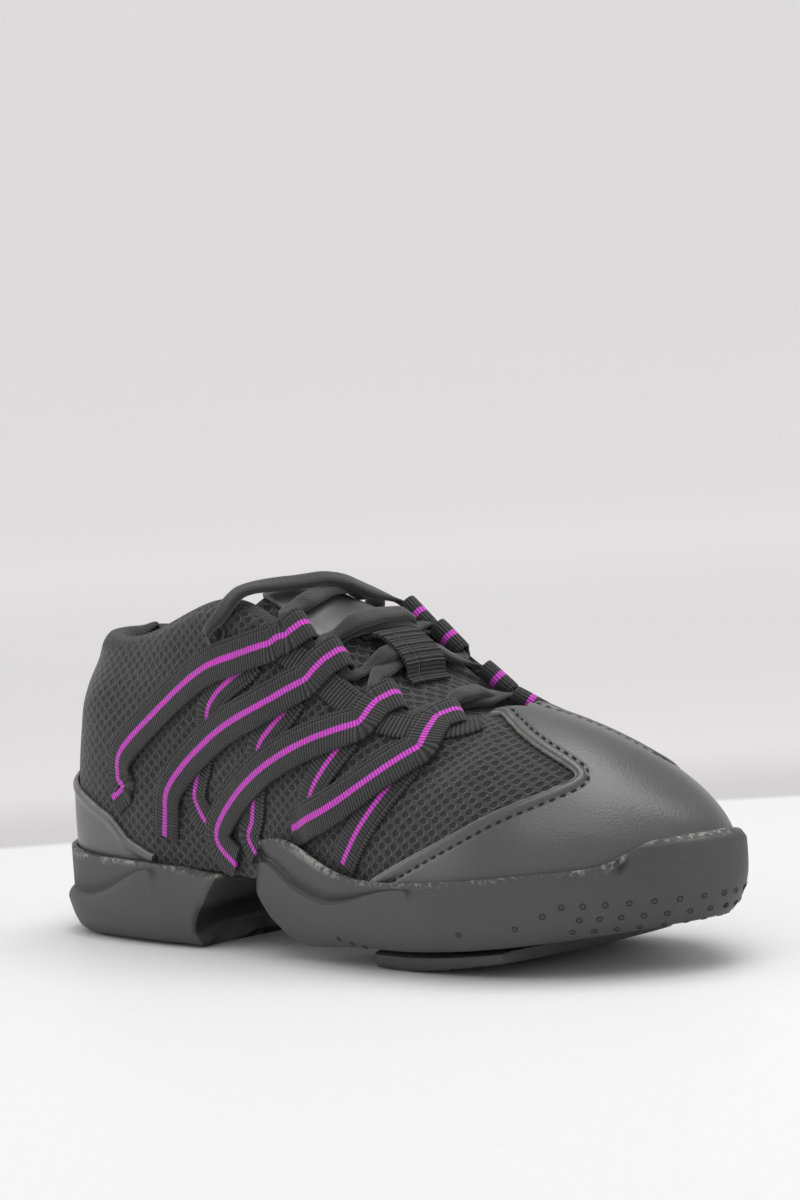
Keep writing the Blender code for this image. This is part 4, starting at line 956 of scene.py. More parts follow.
HALF_COLUMNS = 150
OUTER_ROWS = np.concatenate([np.linspace(0, .86, 40), np.linspace(.872, 1, 13)])
LINING_ROWS = np.linspace(.96, 0, 16)
ROLL = np.radians(np.arange(20, 181, 20))
COLLAR_SWELL = .9 * MM     # how far the padded collar stands out
COLLAR_FOLD = .115         # how far down the lining folds over the back, as a share of v
MESH_ZERO = 7.5            # station where the mesh's pattern is counted from
WAIST_OVERLAP = 8 * MM, 16 * MM        # of the waist's wrap over the heel unit and the lobes
WAIST_SAG = 1.4 * MM
ROW_PITCH = .8             # of the mesh's holes, as a share of their pitch along a row


def upper_half(side):
    """Grid of the upper on one side: skin, rolled topline and lining, with its cloth places."""
    dense = np.linspace(0, TOE, 2400)
    run = runs(base(dense))
    near = np.interp(np.linspace(0, run[-1], HALF_COLUMNS), run, dense)
    near[np.argmin(np.abs(near - RIDGE))] = RIDGE
    place = on_side(near, side)
    u, v = np.meshgrid(place, OUTER_ROWS)
    swell = smooth(v, .80, .92) * (1 - smooth(v, .97, 1.0)) * smooth(-folded(u), -8, -6)
    outer = skin(u, v) + normal(u, v) * COLLAR_SWELL * swell[..., None]
    welded = smooth(near, RIDGE - .8, RIDGE)[:, None]
    top = outer[-1]
    out = normal(place, 1.0)
    up = unit(top - outer[-3])
    thick = wall_at(place, 1.0 + 0 * place)[:, None]
    down = np.array([0, 0, -1.0]) * thick
    rolls = []
    for turn in ROLL:
        free = top - out * thick / 2 * (1 - np.cos(turn)) + up * thick * .55 * np.sin(turn)
        rolls.append(free * (1 - welded) + (top + down * turn / np.pi) * welded)
    u, v = np.meshgrid(place, LINING_ROWS)
    lining = lifted(u, v, -wall_at(u, v))
    points = np.concatenate([outer, np.array(rolls), lining])
    middle = np.argmin(np.abs(near - MESH_ZERO))
    along = runs(points, 1)
    along -= along[:, middle:middle + 1]
    places = np.stack([along * -side, runs(points)], axis=-1)
    over = 1 - COLLAR_FOLD * (1 - smooth(near, 1.0, 4.6))
    marks = np.concatenate([smooth(OUTER_ROWS[:, None] - over[None], -.012, .012),
                            np.ones((len(ROLL) + len(LINING_ROWS), HALF_COLUMNS))])
    faces = grid(len(points), HALF_COLUMNS)
    first, last = len(OUTER_ROWS) - 1, len(OUTER_ROWS) + len(ROLL) - 1
    kept = [face for face in faces if not (first <= face[0] // HALF_COLUMNS < last
                                           and near[face[0] % HALF_COLUMNS] >= RIDGE - 1e-9)]
    return points.reshape(-1, 3), kept, places.reshape(-1, 2), marks.ravel()


def waist_wrap():
    """The mesh that wraps under the waist, between the two sole units."""
    spots = np.linspace(HEEL_FRONT - WAIST_OVERLAP[0], LOBE_REAR + WAIST_OVERLAP[1], 26)
    left, right = base(station_at(spots, -1)), base(station_at(spots, 1))
    share = np.linspace(0, 1, 22)[:, None, None]
    rows = left[None] + (right - left)[None] * share
    rows[..., 2] -= WAIST_SAG * np.sin(np.pi * share[..., 0])
    return rows, rows + np.array([0, 0, WEBBING])


def make_upper(settings):
    """The mesh upper with its lining, and the mesh that wraps under the waist."""
    finish = open_mesh("open_mesh", settings.mesh_colour,
                       (settings.hole_pitch, settings.hole_pitch * ROW_PITCH))
    near_half, far_half = upper_half(-1), upper_half(1)
    points, places, marks = (np.concatenate([near_half[k], far_half[k]]) for k in (0, 2, 3))
    faces = near_half[1] + [tuple(i + len(near_half[0]) for i in face) for face in far_half[1]]
    thing = piece("upper_mesh", points, faces, places, {"lining": marks}, 60, 2e-5)
    fit(thing, finish, ["upper"])
    outer, inner = waist_wrap()
    places = np.stack([runs(outer, 1), runs(outer)], axis=-1)
    thing = thick_sheet("waist_wrap", outer, inner, places, {"lining": np.zeros(outer.shape[:2])})
    fit(thing, finish)


# Sole

CREASE_FROM = 26           # degrees at which a moulded edge stays crisp
GROOVE_FROM = 24           # degrees of an inner corner that is painted darker as shade
LEVEL_CREASE, UPRIGHT_CREASE = .92, .45     # how crisp steps and upright corners stay
LEVEL_TURN, UPRIGHT_TURN = 22, 60      # degrees beyond that over which they come to it
LIP_SAMPLES = 900
GLUE_REACH = 1.5 * MM      # from the lip


def rebuilt(node, name, levels):
    """A CAD solid as one smooth skin: merged, squared, its crisp edges kept, subdivided."""
    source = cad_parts[node].data
    mesh = bpy.data.meshes.new(name)
    mesh.from_pydata([tuple(vert.co) for vert in source.vertices], [],
                     [tuple(face.vertices) for face in source.polygons])
    thing = bpy.data.objects.new(name, mesh)
    bpy.context.collection.objects.link(thing)
    alone(thing)
    bpy.ops.object.mode_set(mode="EDIT")
    bpy.ops.mesh.select_all(action="SELECT")
    bpy.ops.mesh.remove_doubles(threshold=1e-5)
    bpy.ops.mesh.tris_convert_to_quads(face_threshold=np.radians(50),
                                       shape_threshold=np.radians(60))
    bpy.ops.mesh.select_all(action="DESELECT")
    bpy.ops.object.mode_set(mode="OBJECT")
    work = bmesh.new()
    work.from_mesh(mesh)
    crisp = work.edges.layers.float.new("crease_edge")
    # Points on inner corners are marked for the painted shade in the grooves.
    groove = work.verts.layers.float.new("groove")
    for edge in work.edges:
        if len(edge.link_faces) == 2:
            turn = np.degrees(edge.calc_face_angle(0))
            if edge.calc_face_angle_signed(0) < -np.radians(GROOVE_FROM):
                for vert in edge.verts:
                    vert[groove] = 1
            ends = edge.verts[1].co - edge.verts[0].co
            level = abs(ends.z) < .5 * ends.length
            over, most = ((LEVEL_TURN, LEVEL_CREASE) if level else
                          (UPRIGHT_TURN, UPRIGHT_CREASE))
            edge[crisp] = float(np.clip((turn - CREASE_FROM) / over, 0, most))
    work.to_mesh(mesh)
    work.free()
    modify(thing, "SUBSURF", levels=levels, render_levels=levels)
    smooth_by_angle(thing, 42)
    return thing


def lip_mark(thing):
    """How close each point lies to the sole's lip, as a mark for dried glue."""
    stations = np.linspace(0, STATIONS, LIP_SAMPLES, endpoint=False)
    spots = base(stations) - ORIGIN
    tree = KDTree(len(spots))
    for i, spot in enumerate(spots):
        tree.insert((spot[0], spot[1], 0), i)
    tree.balance()
    heights = lip_height(stations)
    marks = []
    for vert in thing.data.vertices:
        i = tree.find((vert.co.x, vert.co.y, 0))[1]
        marks.append(1 - min(abs(vert.co.z - heights[i]) / GLUE_REACH, 1))
    set_mark(thing.data, "glue", np.array(marks))


# Rows of moulded dots round the toe: height above the floor in millimetres, first and last
# station, and how many. The other dots lie on the flanks: station and height.
DOT_ROWS = ((21.5, 13.1, 14.9, 8), (17.5, 13.3, 15.0, 8), (14.0, 13.2, 14.8, 7))
FLANK_DOTS = ((11.55, 13.5), (12.45, 15.5), (12.85, 19.0), (9.0, 9.0), (9.25, 8.0), (9.5, 7.2))
DOTS = [(near, height) for height, start, end, count in DOT_ROWS
        for near in np.linspace(start, end, count)] + list(FLANK_DOTS)
DOT_RADIUS = .75 * MM
DOT_ROUND = .22 * MM


def make_sole(settings):
    finish = moulded_rubber("moulded_rubber", settings.rubber_colour, settings.glue_colour)
    for node, name in (("heel_unit", "heel_block"), ("forefoot_unit", "forefoot_block"),
                       ("tread_pad", "ball_tread")):
        thing = rebuilt(node, name, 2)
        lip_mark(thing)
        fit(thing, finish, [node])
    make_dots()


def make_dots():
    """Small dark dimples, each a low ring, set on the forefoot's side."""
    carrier = bpy.data.objects["forefoot_block"]
    tree = BVHTree.FromObject(carrier, bpy.context.evaluated_depsgraph_get())
    bpy.ops.object.select_all(action="DESELECT")
    bpy.ops.mesh.primitive_torus_add(major_segments=12, minor_segments=5,
                                     major_radius=DOT_RADIUS, minor_radius=DOT_ROUND)
    ring, faces = template(bpy.context.object)
    copies = []
    for side in (-1, 1):
        for near, height in DOTS:
            out = outward(on_side(near, side))
            start = base(on_side(near, side)) + out * 60 * MM - ORIGIN
            start[2] = height * MM
            spot, facing = tree.ray_cast(Vector(start), Vector(-out))[:2]
            if spot is None:
                raise RuntimeError("a sole dot misses the forefoot")
            turn = np.array(Vector((0, 0, 1)).rotation_difference(facing).to_matrix())
            copies.append(ring @ turn.T + np.array(spot) + ORIGIN)
    # The rings' near-black colour is painted shade of the dimples.
    fit(stamped("sole_dots", copies, faces), hard_plastic("painted_dot_shade", (.018, .018, .019), .7))


def make_insole(settings):
    thing = rebuilt("insole", "footbed", 1)
    fit(thing, fine_cloth("footbed_cloth", settings.mesh_colour), ["insole"])


# Leather

CAP_ROWS = 74
CAP_HALF = 60
COUNTER_HALF = 70
EDGE_ROLL = 2.0 * MM       # from the leather's edge to the top of its rolled fold
SEAM_IN = 3.7 * MM         # from the leather's edge to its stitches
STITCH_PITCH = 3.3 * MM
STITCH_SIZE = np.array([2.0, .76, .68]) * MM
STITCH_SINK = .85          # how high a stitch's middle lies in the leather, as a share of it
COUNTER_END = 4.05         # station of the counter's front end
COUNTER_GAP = GAP + .2 * MM
FOLD_RISE, SEAM_PRESS, EDGE_THIN = .55 * MM, .45 * MM, .35 * MM


def edge_distance(points, line):
    """Distance of each point to a dense line."""
    flat = points.reshape(-1, 3)
    tree = KDTree(len(line))
    for i, spot in enumerate(line):
        tree.insert(spot, i)
    tree.balance()
    return np.array([tree.find(spot)[2] for spot in flat]).reshape(points.shape[:-1])


def dense_line(points, step=.4 * MM):
    run = runs(points)
    spots = np.linspace(0, run[-1], int(run[-1] / step))
    return np.stack([np.interp(spots, run, points[:, k]) for k in range(3)], axis=-1)


def leather_sheet(u, v, offset, edges, seam=True):
    """A leather cut over the form, with a rolled edge and a pressed stitch line."""
    inner = lifted(u, v, offset + 0 * u)
    far = edge_distance(inner, np.concatenate([dense_line(line) for line in edges]))
    roll = FOLD_RISE * np.exp(-((far - EDGE_ROLL * .8) / (1.3 * MM)) ** 2)
    press = SEAM_PRESS * np.exp(-((far - SEAM_IN) / (.6 * MM)) ** 2) if seam else 0
    thin = EDGE_THIN * np.exp(-(far / (.5 * MM)) ** 2)
    outer = lifted(u, v, offset + LEATHER + roll - press - thin)
    return outer, inner, {"edge": np.exp(-(far / (.75 * MM)) ** 2)}


def spread(count, power=1.7):
    """Shares from 0 to 1 that crowd towards 0."""
    return np.linspace(0, 1, count) ** power


def cap_places():
    """Places of the toe cap, a row from the lateral edge over the toe to the medial edge."""
    table = np.array(CAP_EDGE)
    run = runs(table)
    curve = [spline(table[:, k], closed=False) for k in range(2)]
    t = np.interp(np.linspace(0, run[-1], CAP_ROWS), run, np.arange(len(table)))
    share = spread(CAP_HALF)
    u, v = [], []
    for height, along in zip(np.clip(curve[0](t), .01, 1), curve[1](t)):
        start, end = (column_at(height, along * LENGTH, side) for side in (-1, 1))
        near, far = start + (TOE - start) * share, end + (TOE - end) * share
        u.append(np.concatenate([near, far[-2::-1]]))
        v.append(np.full(len(u[-1]), height))
    return np.array(u), np.array(v)


def weld_top(sheet, u):
    """Bring the two sides of a sheet's last row together on the ridge."""
    last = sheet[-1]
    sheet[-1] = np.where((folded(u[-1]) >= RIDGE - .01)[:, None], (last + last[::-1]) / 2, last)
    return sheet


def make_toe_cap(finish):
    """The toe cap, its top row joined along the vamp's ridge and its two rear edges free."""
    u, v = cap_places()
    edges = [lifted(u[:, 0], v[:, 0], CAP_GAP), lifted(u[:, -1], v[:, -1], CAP_GAP)]
    outer, inner, marks = leather_sheet(u, v, CAP_GAP, edges)
    outer, inner = weld_top(outer, u), weld_top(inner, u)
    rows, columns = u.shape
    faces = grid(rows, columns)
    points, closed = shell(outer.reshape(-1, 3), inner.reshape(-1, 3), faces)
    half = (rows - 1) * columns
    rim = [face for face in closed[2 * len(faces):] if not (
        min(i % (rows * columns) for i in face) >= half
        and all(folded(u[-1, i % (rows * columns) - half]) >= RIDGE - .01 for i in face))]
    thing = piece("leather_toe_cap", points, closed[:2 * len(faces)] + rim, None,
                  {"edge": np.tile(marks["edge"].ravel(), 2)}, 50, 2e-5)
    return fit(thing, finish, ["toe_cap"])


def make_counter(finish):
    """The heel counter, from the sole up to the lower of its two front edges."""
    ring = np.linspace(-COUNTER_END, COUNTER_END, 2 * COUNTER_HALF + 1)
    edge = np.array(COUNTER_EDGE) * [LENGTH, INSTEP]

    def short(v):
        here = form(ring, v)
        return here[:, 2] < np.interp(here[:, 0], edge[:, 0], edge[:, 1])

    top = halved(np.zeros(ring.shape), np.full(ring.shape, .6), short)
    share = np.sort(1 - spread(26, 1.5))[:, None]
    u, v = np.broadcast_arrays(ring[None], share * top[None])
    outer, inner, marks = leather_sheet(u, v, COUNTER_GAP, [lifted(ring, top, COUNTER_GAP)],
                                        seam=False)
    thing = thick_sheet("leather_heel_counter", outer, inner, None, marks, 50)
    return fit(thing, finish, ["heel_counter"])


def stitch_row(line_u, line_v, lift):
    """Centres, directions and outward normals of evenly spaced stitches along a line."""
    line = lifted(line_u, line_v, lift + 0 * line_u)
    run = runs(line)
    spots = np.arange(STITCH_PITCH / 2, run[-1], STITCH_PITCH)
    u, v = np.interp(spots, run, line_u), np.interp(spots, run, line_v)
    centre = lifted(u, v, lift + 0 * u)
    ahead = [np.interp(spots + MM, run, line[:, k]) - np.interp(spots - MM, run, line[:, k])
             for k in range(3)]
    return zip(centre, unit(np.stack(ahead, axis=-1)), normal(u, v))


def inset_line(u, v, distance):
    """The line that runs a set distance in from the first column of a sheet's places."""
    ground = form(u, v)
    far = edge_distance(ground, dense_line(ground[:, 0]))
    line = []
    for row_u, row_v, row_far in zip(u, v, far):
        last = max(int(np.argmax(row_far > distance)), 1) + 1
        line.append([np.interp(distance, row_far[:last], row_u[:last]),
                     np.interp(distance, row_far[:last], row_v[:last])])
    return np.array(line).T


def make_stitches():
    """Dark thread along the toe cap's rear edges."""
    u, v = cap_places()
    bpy.ops.object.select_all(action="DESELECT")
    bpy.ops.mesh.primitive_uv_sphere_add(segments=8, ring_count=6, radius=1)
    ball, faces = template(bpy.context.object)
    copies = []
    for way in (1, -1):
        a, b = inset_line(u[:-3, ::way], v[:-3, ::way], SEAM_IN)
        row = stitch_row(a, np.clip(b, .01, .995), CAP_GAP + LEATHER * STITCH_SINK)
        for centre, ahead, out in row:
            side = unit(np.cross(out, ahead))
            axes = np.array([ahead, side, np.cross(ahead, side)])
            copies.append(centre + ball * STITCH_SIZE / 2 @ axes)
    fit(stamped("stitches", copies, faces), fine_cloth("thread", (.008, .008, .008), 2500))


def make_leather(settings):
    finish = leather("satin_leather", settings.leather_colour, settings.edge_colour)
    make_toe_cap(finish)
    make_counter(finish)
    make_stitches()
    make_patch(finish)


# Webbing

BAND_STEP = 1.5 * MM
BAND_SHARES = np.array([-.5, -.47, -.3, -.1, .1, .3, .47, .5])
BAND_DROP = np.array([.22, .06, 0, 0, 0, 0, .06, .22]) * MM     # the band's rounded edges
EYESTAY_RUN = 6.9, 11.0    # stations of the tape's two ends
EYESTAY_DOWN = .3 * MM     # from the topline to the tape


def band_rows(u, v, width, offset):
    """Points of a band on the skin, one row for each share of its width."""
    centre = form(u, v)
    ahead = np.gradient(centre, axis=0)
    over = unit(np.cross(ahead, normal(u, v)))
    rows = []
    for share, drop in zip(BAND_SHARES, BAND_DROP):
        a, b = nearest_places(centre + over * width * share, u, v)
        rows.append(skin(a, np.clip(b, .004, 1.02), offset - drop * (offset > 2 * GAP)))
    return np.array(rows)


def band_piece(name, outer, inner, width):
    """A band between two sets of rows, its place counted along it and from its middle line."""
    along = runs((outer[3] + outer[4]) / 2)
    places = np.stack(np.broadcast_arrays(along[None], BAND_SHARES[:, None] * width), axis=-1)
    return thick_sheet(name, outer, inner, places, angle=50)


def laid_band(name, u, v, width, gap):
    """A band that lies along a line on the skin."""
    level = np.full(len(u), gap)
    outer, inner = (band_rows(u, v, width, lift) for lift in (level + WEBBING, level))
    return band_piece(name, outer, inner, width)


def make_strap(name, strap, side):
    """Webbing from the sole to the throat edge, then a loop for the lace."""
    u, v = strap_line(strap.places, side, BAND_STEP)
    u, v = u[::-1], v[::-1]
    share = np.linspace(1, 0, len(u))
    offset = GAP + STRAP_LIFT * (1 - smooth(share, strap.settle, strap.settle + .12))
    inner = band_rows(u, v, STRAP_WIDTH, offset)
    outer = band_rows(u, v, STRAP_WIDTH, offset + WEBBING)
    edge, up, face, across_edge = loop_frame(strap.places, side)
    across_edge *= np.sign(np.dot(across_edge, outer[-1, -1] - outer[0, -1]))
    start = edge + face * (GAP + STRAP_LIFT)
    arc = LOOP_INNER / 2
    # Rise above the throat edge, turn round the lace, and how far back down the loop has come.
    legs = [(rise * MM, 0, 0) for rise in (1.2, 2.4, 3.6)]
    legs += [(LOOP_REACH, angle, 0) for angle in range(0, 181, 15)]
    legs += [(LOOP_REACH, 180, back * MM) for back in (.8, 1.6, 2.4)]
    width = across_edge * (BAND_SHARES * STRAP_WIDTH)[:, None]
    outer_ends, inner_ends = [], []
    for rise, angle, back in legs:
        turn = np.radians(angle)
        away = face * np.cos(turn) + up * np.sin(turn)
        spot = start - face * arc + up * (rise - back) + width
        outer_ends.append(spot + away * (arc + WEBBING - BAND_DROP[:, None]))
        inner_ends.append(spot + away * arc)
    outer = np.concatenate([outer, np.array(outer_ends).transpose(1, 0, 2)], axis=1)
    inner = np.concatenate([inner, np.array(inner_ends).transpose(1, 0, 2)], axis=1)
    return band_piece(name, outer, inner, STRAP_WIDTH)


def make_webbing(settings):
    strap = webbing("strap_webbing", settings.webbing_colour, settings.stripe_colour,
                    STRAP_WIDTH, settings.rib_pitch, settings.stripe_width / 2)
    stay = webbing("stay_webbing", settings.webbing_colour, settings.stripe_colour, STAY_WIDTH,
                   settings.rib_pitch * 1.15, settings.stripe_width * .43)
    tape = webbing("edge_tape", settings.webbing_colour, settings.webbing_colour, EYESTAY_WIDTH,
                   settings.rib_pitch * 1.3, 0)
    for side, word in ((-1, "lateral"), (1, "medial")):
        for number, row in enumerate(STRAPS, 1):
            name = f"strap_{number}_{word}"
            fit(make_strap("webbing_" + name, row, side), strap, [name])
        for number, row in enumerate(STAYS, 1):
            name = f"stay_{number}_{word}"
            u, v = strap_line(row, side, BAND_STEP)
            fit(laid_band("webbing_" + name, u, v, STAY_WIDTH, GAP), stay, [name])
        u = on_side(np.linspace(*EYESTAY_RUN, 60), side)
        v = below_top(u, EYESTAY_WIDTH / 2 + EYESTAY_DOWN)
        fit(laid_band("tape_" + word, u, v, EYESTAY_WIDTH, GAP + .1 * MM), tape,
            ["eyestay_" + word])
    make_keeper(tape)


def make_keeper(finish):
    """Ribbed webbing over the tongue's middle, its nine ribs raised across it."""
    share = np.concatenate([np.linspace(-1, -.70, 6), np.linspace(-.66, .66, 109),
                            np.linspace(.70, 1, 6)])
    arch = np.interp(np.abs(share), (0, .36, .66, .78, 1), (1, .95, .6, 0, 0)) * KEEPER_ROOM
    ribs = .42 * MM * np.abs(np.sin(np.pi * 4.5 * share / .66)) * (np.abs(share) < .66)
    x = KEEPER_AT + share * KEEPER_LENGTH / 2
    width = BAND_SHARES[:, None, None] * np.array([0, KEEPER_WIDTH, 0])
    drop = (np.abs(BAND_SHARES) * 2) ** 4
    drop = drop[:, None, None] * np.array([0, 0, -.3 * MM])
    lift = GAP + .5 * MM
    outer = tongue_line(x, lift + WEBBING + arch + ribs)[None] + width + drop
    inner = tongue_line(x, lift + arch)[None] + width + drop
    fit(band_piece("ribbed_keeper", outer, inner, KEEPER_WIDTH), finish, ["lace_keeper"])


# Tongue

TONGUE_FINE = np.linspace(6.2, 11.75, 60)
TONGUE_FINE_SHARES = tuple(np.linspace(.05, .95, 21))
PATCH_FINE_SHARES = tuple(np.linspace(.12, .88, 25))
PATCH_ROWS = np.linspace(6.2, 7.88, 34)


def make_tongue(settings):
    """The padded mesh tongue."""
    outer = np.array(tongue_sheet(0, TONGUE_FINE_SHARES, TONGUE_FINE))
    inner = np.array(tongue_sheet(TONGUE_THICK, TONGUE_FINE_SHARES, TONGUE_FINE))
    inner[..., 2] = np.minimum(inner[..., 2], outer[..., 2])
    places = np.stack([runs(outer, 1), runs(outer)], axis=-1)
    finish = open_mesh("tongue_mesh", settings.mesh_colour, (settings.tongue_pitch,) * 2, .40)
    thing = thick_sheet("mesh_tongue", outer, inner, places,
                        {"lining": np.zeros(outer.shape[:2])}, 50)
    modify(thing, "BEVEL", width=1.0 * MM, segments=3, limit_method="ANGLE",
           angle_limit=np.radians(60))
    smooth_by_angle(thing, 60)
    fit(thing, finish, ["tongue"])


def make_patch(finish):
    """The bare leather patch on the tongue's free end."""
    outer, inner = (np.array(tongue_sheet(depth, PATCH_FINE_SHARES, PATCH_ROWS))[:, 2:-2]
                    for depth in (-GAP - LEATHER, -GAP))
    rim = [outer[0], outer[-1], outer[:, 0], outer[:, -1]]
    far = edge_distance(outer, np.concatenate([dense_line(line) for line in rim]))
    outer[..., 2] += .3 * MM * np.exp(-((far - 1.6 * MM) / (1.0 * MM)) ** 2)
    thing = thick_sheet("leather_tongue_patch", outer, inner, None,
                        {"edge": np.exp(-(far / (.6 * MM)) ** 2)}, 50)
    fit(thing, finish, ["tongue_patch"])


# Lace

LACE_SIDES = 18
LACE_FINE = 1.1 * MM
# The half that isn't in the CAD model, from the far eyelet down to the bar: loop and side.
UNDER_PASSES = ((1, -1), (2, 1), (3, -1))
UNDER_RISES = (CROSS_RISE, .4, None, .2)
OVER_LAP = .82             # how much of its thickness the upper lace needs at a crossing


LACE_END_HALF = EYELET_HOLE - 1.1 * MM         # half its width where it enters an eyelet
LACE_END_RUN = 1.5 * MM, 15 * MM       # over which it widens from there
LACE_ROUND = 16 * MM       # round the tube, for the knit's pattern
CROSSING_NEAR = 1.5 * MM, 8.5 * MM
CROSSING_DEEP = 9 * MM


def lace_stops():
    """Stops of the whole lace, from the medial eyelet down and up to the lateral one."""
    chain = [(number, side, -1) for number, side in UNDER_PASSES]
    rises = list(UNDER_RISES)
    chain += [(row.loop, row.side, row.way) for row in LACE_PASSES]
    rises += [row.rise for row in LACE_PASSES]
    stops = top_end(1)[::-1]
    loops = []
    for (number, side, way), rise in zip(chain, rises):
        ahead = through_loop(number, side, way)
        stops += crossing(stops[-1][0], ahead[0][0], rise) + ahead
        loops.append(loop_centre(number, side)[0])
        if (number, side) == (4, 1):
            split = len(stops)
    end = top_end(-1)
    stops += crossing(stops[-1][0], end[0][0], rises[-1]) + end
    return stops, loops, split


def lifted_over(centre, face, free, turning):
    """How far each point of the lace has to rise to clear the lace that it crosses."""
    under = np.arange(turning)
    rises = np.zeros(len(centre))
    for i in range(turning, len(centre)):
        if free[i] < .05:
            continue
        up = face[i] / np.linalg.norm(face[i])
        gap = centre[i] - centre[under]
        rise = gap @ up
        level = np.linalg.norm(gap - rise[:, None] * up, axis=1)
        near = (1 - smooth(level, *CROSSING_NEAR)) * free[under]
        need = LACE_THICK * OVER_LAP - rise
        rises[i] = max(0, np.max(np.where(np.abs(rise) < CROSSING_DEEP, need * near, 0)))
    window = np.hanning(13) / np.hanning(13).sum()
    soft = np.convolve(np.pad(rises, 6, mode="edge"), window, mode="valid")
    return np.maximum(rises, soft) * free


def make_lace(settings):
    """The whole lace: its path, lifted where it crosses itself, and the knit tube along it."""
    stops, loops, split = lace_stops()
    centre, face, left = route(stops, LACE_FINE)
    total = left[0]
    turning = np.argmin(np.linalg.norm(centre - stops[split - 1][0], axis=1))
    apart = np.min([np.linalg.norm(centre - spot, axis=1) for spot in loops], axis=0)
    free = smooth(apart, *PINCH_RUN)
    centre += (clear_tongue(centre.copy()) - centre) * free[:, None]
    centre = centre + face * lifted_over(centre, face, free, turning)[:, None]
    ahead = unit(np.gradient(centre, axis=0))
    face = unit(face - ahead * np.sum(face * ahead, axis=1, keepdims=True))
    wide = np.cross(ahead, face)
    end = np.minimum(left, total - left)
    narrow = smooth(end, *LACE_END_RUN)
    size = PINCH + (1 - PINCH) * free
    count = np.arange(len(centre))
    uneven = np.sin(count * .23) * .03 + np.sin(count * .081) * .04
    half_width = (LACE_END_HALF * (1 - narrow)
                  + LACE_WIDTH / 2 * narrow * (1.08 + uneven)) * size
    half_thick = LACE_THICK / 2 * size * (1 + uneven)
    angle = np.arange(LACE_SIDES) * 2 * np.pi / LACE_SIDES
    rim = np.abs(np.cos(angle)) ** .85 * np.sign(np.cos(angle))
    crown = np.abs(np.sin(angle)) ** .8 * np.sign(np.sin(angle))
    crown *= 1 - .16 * np.exp(-(np.cos(angle) / .22) ** 2)
    rings = (centre[:, None] + wide[:, None] * (half_width[:, None] * rim)[..., None]
             + face[:, None] * (half_thick[:, None] * crown)[..., None])
    closed = np.concatenate([rings, rings[:, :1]], axis=1)
    turns = np.linspace(0, LACE_ROUND, LACE_SIDES + 1)
    places = np.stack(np.broadcast_arrays(runs(centre)[:, None], turns[None]), axis=-1)
    faces = grid(len(closed), LACE_SIDES + 1)
    last = (len(closed) - 1) * (LACE_SIDES + 1)
    faces += [tuple(range(LACE_SIDES)), tuple(range(last, last + LACE_SIDES))]
    thing = piece("knit_lace", closed.reshape(-1, 3), faces, places.reshape(-1, 2), None, 60)
    fit(thing, lace_knit("lace_knit_yarn", settings.lace_colour),
        ["lace", "lace_end_medial"])


def make_eyelets(settings):
    """Thin satin rings at the top corners, each with the dark hole behind it."""
    ring_finish = hard_plastic("eyelet_satin", (.045, .045, .047), .34)
    hole_shade_finish = fine_cloth("painted_hole_shade", (.002, .002, .002))
    for side, word in ((-1, "lateral"), (1, "medial")):
        u = on_side(EYELET_PLACE[0], side)
        spot = skin(u, EYELET_PLACE[1], GAP + .75 * MM) - ORIGIN
        facing = normal(u, EYELET_PLACE[1])
        turn = Vector((0, 0, 1)).rotation_difference(Vector(facing)).to_matrix().to_4x4()
        bpy.ops.object.select_all(action="DESELECT")
        bpy.ops.mesh.primitive_torus_add(major_segments=48, minor_segments=14,
                                         major_radius=EYELET_OUTER - .65 * MM,
                                         minor_radius=.65 * MM)
        ring = bpy.context.object
        ring.name = ring.data.name = "eyelet_ring_" + word
        ring.data.transform(Matrix.Translation(spot) @ turn @ Matrix.Diagonal((1, 1, .8, 1)))
        smooth_by_angle(ring, 60)
        fit(ring, ring_finish, ["eyelet_" + word])
        # A near-black disc in the ring: painted shade where the hole shows the shoe's dark inside.
        bpy.ops.object.select_all(action="DESELECT")
        bpy.ops.mesh.primitive_cylinder_add(vertices=40, radius=EYELET_OUTER - .7 * MM,
                                            depth=.5 * MM)
        hole = bpy.context.object
        hole.name = hole.data.name = "eyelet_hole_" + word
        hole.data.transform(Matrix.Translation(spot - facing * .45 * MM) @ turn)
        smooth_by_angle(hole, 40)
        fit(hole, hole_shade_finish)


# Stage

SWEEP_FLAT, SWEEP_BEND = 3.6, 1.4
Lamp = namedtuple("Lamp", "name place size power")
LAMPS = (
    Lamp("key", (.35, -.55, 1.25), 1.0, 5.2),
    Lamp("top", (.05, .30, 1.3), .95, 9),
    Lamp("side", (-1.0, -.65, .55), .8, 2.4),
    Lamp("toe", (1.1, .25, .6), .7, 1.2),
)
# The photograph's camera: how it turns and tilts, where it aims and how narrow its view is.
CAMERA_TURN, CAMERA_PITCH, CAMERA_ROLL = np.radians([44.6, 4.3, -3.8])
CAMERA_AWAY = 1300 * MM
CAMERA_SHIFT = (4.9 * MM, 52.85 * MM)
CAMERA_AIM = np.array([131, 0, 50]) * MM
CAMERA_LENS = 130.49


def photo_axes():
    """Right, up and backward directions of the photograph's camera."""
    turn, pitch = CAMERA_TURN, CAMERA_PITCH
    back = np.array([np.cos(turn) * np.cos(pitch), -np.sin(turn) * np.cos(pitch), np.sin(pitch)])
    level = np.array([np.sin(turn), np.cos(turn), 0])
    rise = np.cross(back, level)
    right = level * np.cos(CAMERA_ROLL) + rise * np.sin(CAMERA_ROLL)
    return right, rise * np.cos(CAMERA_ROLL) - level * np.sin(CAMERA_ROLL), back


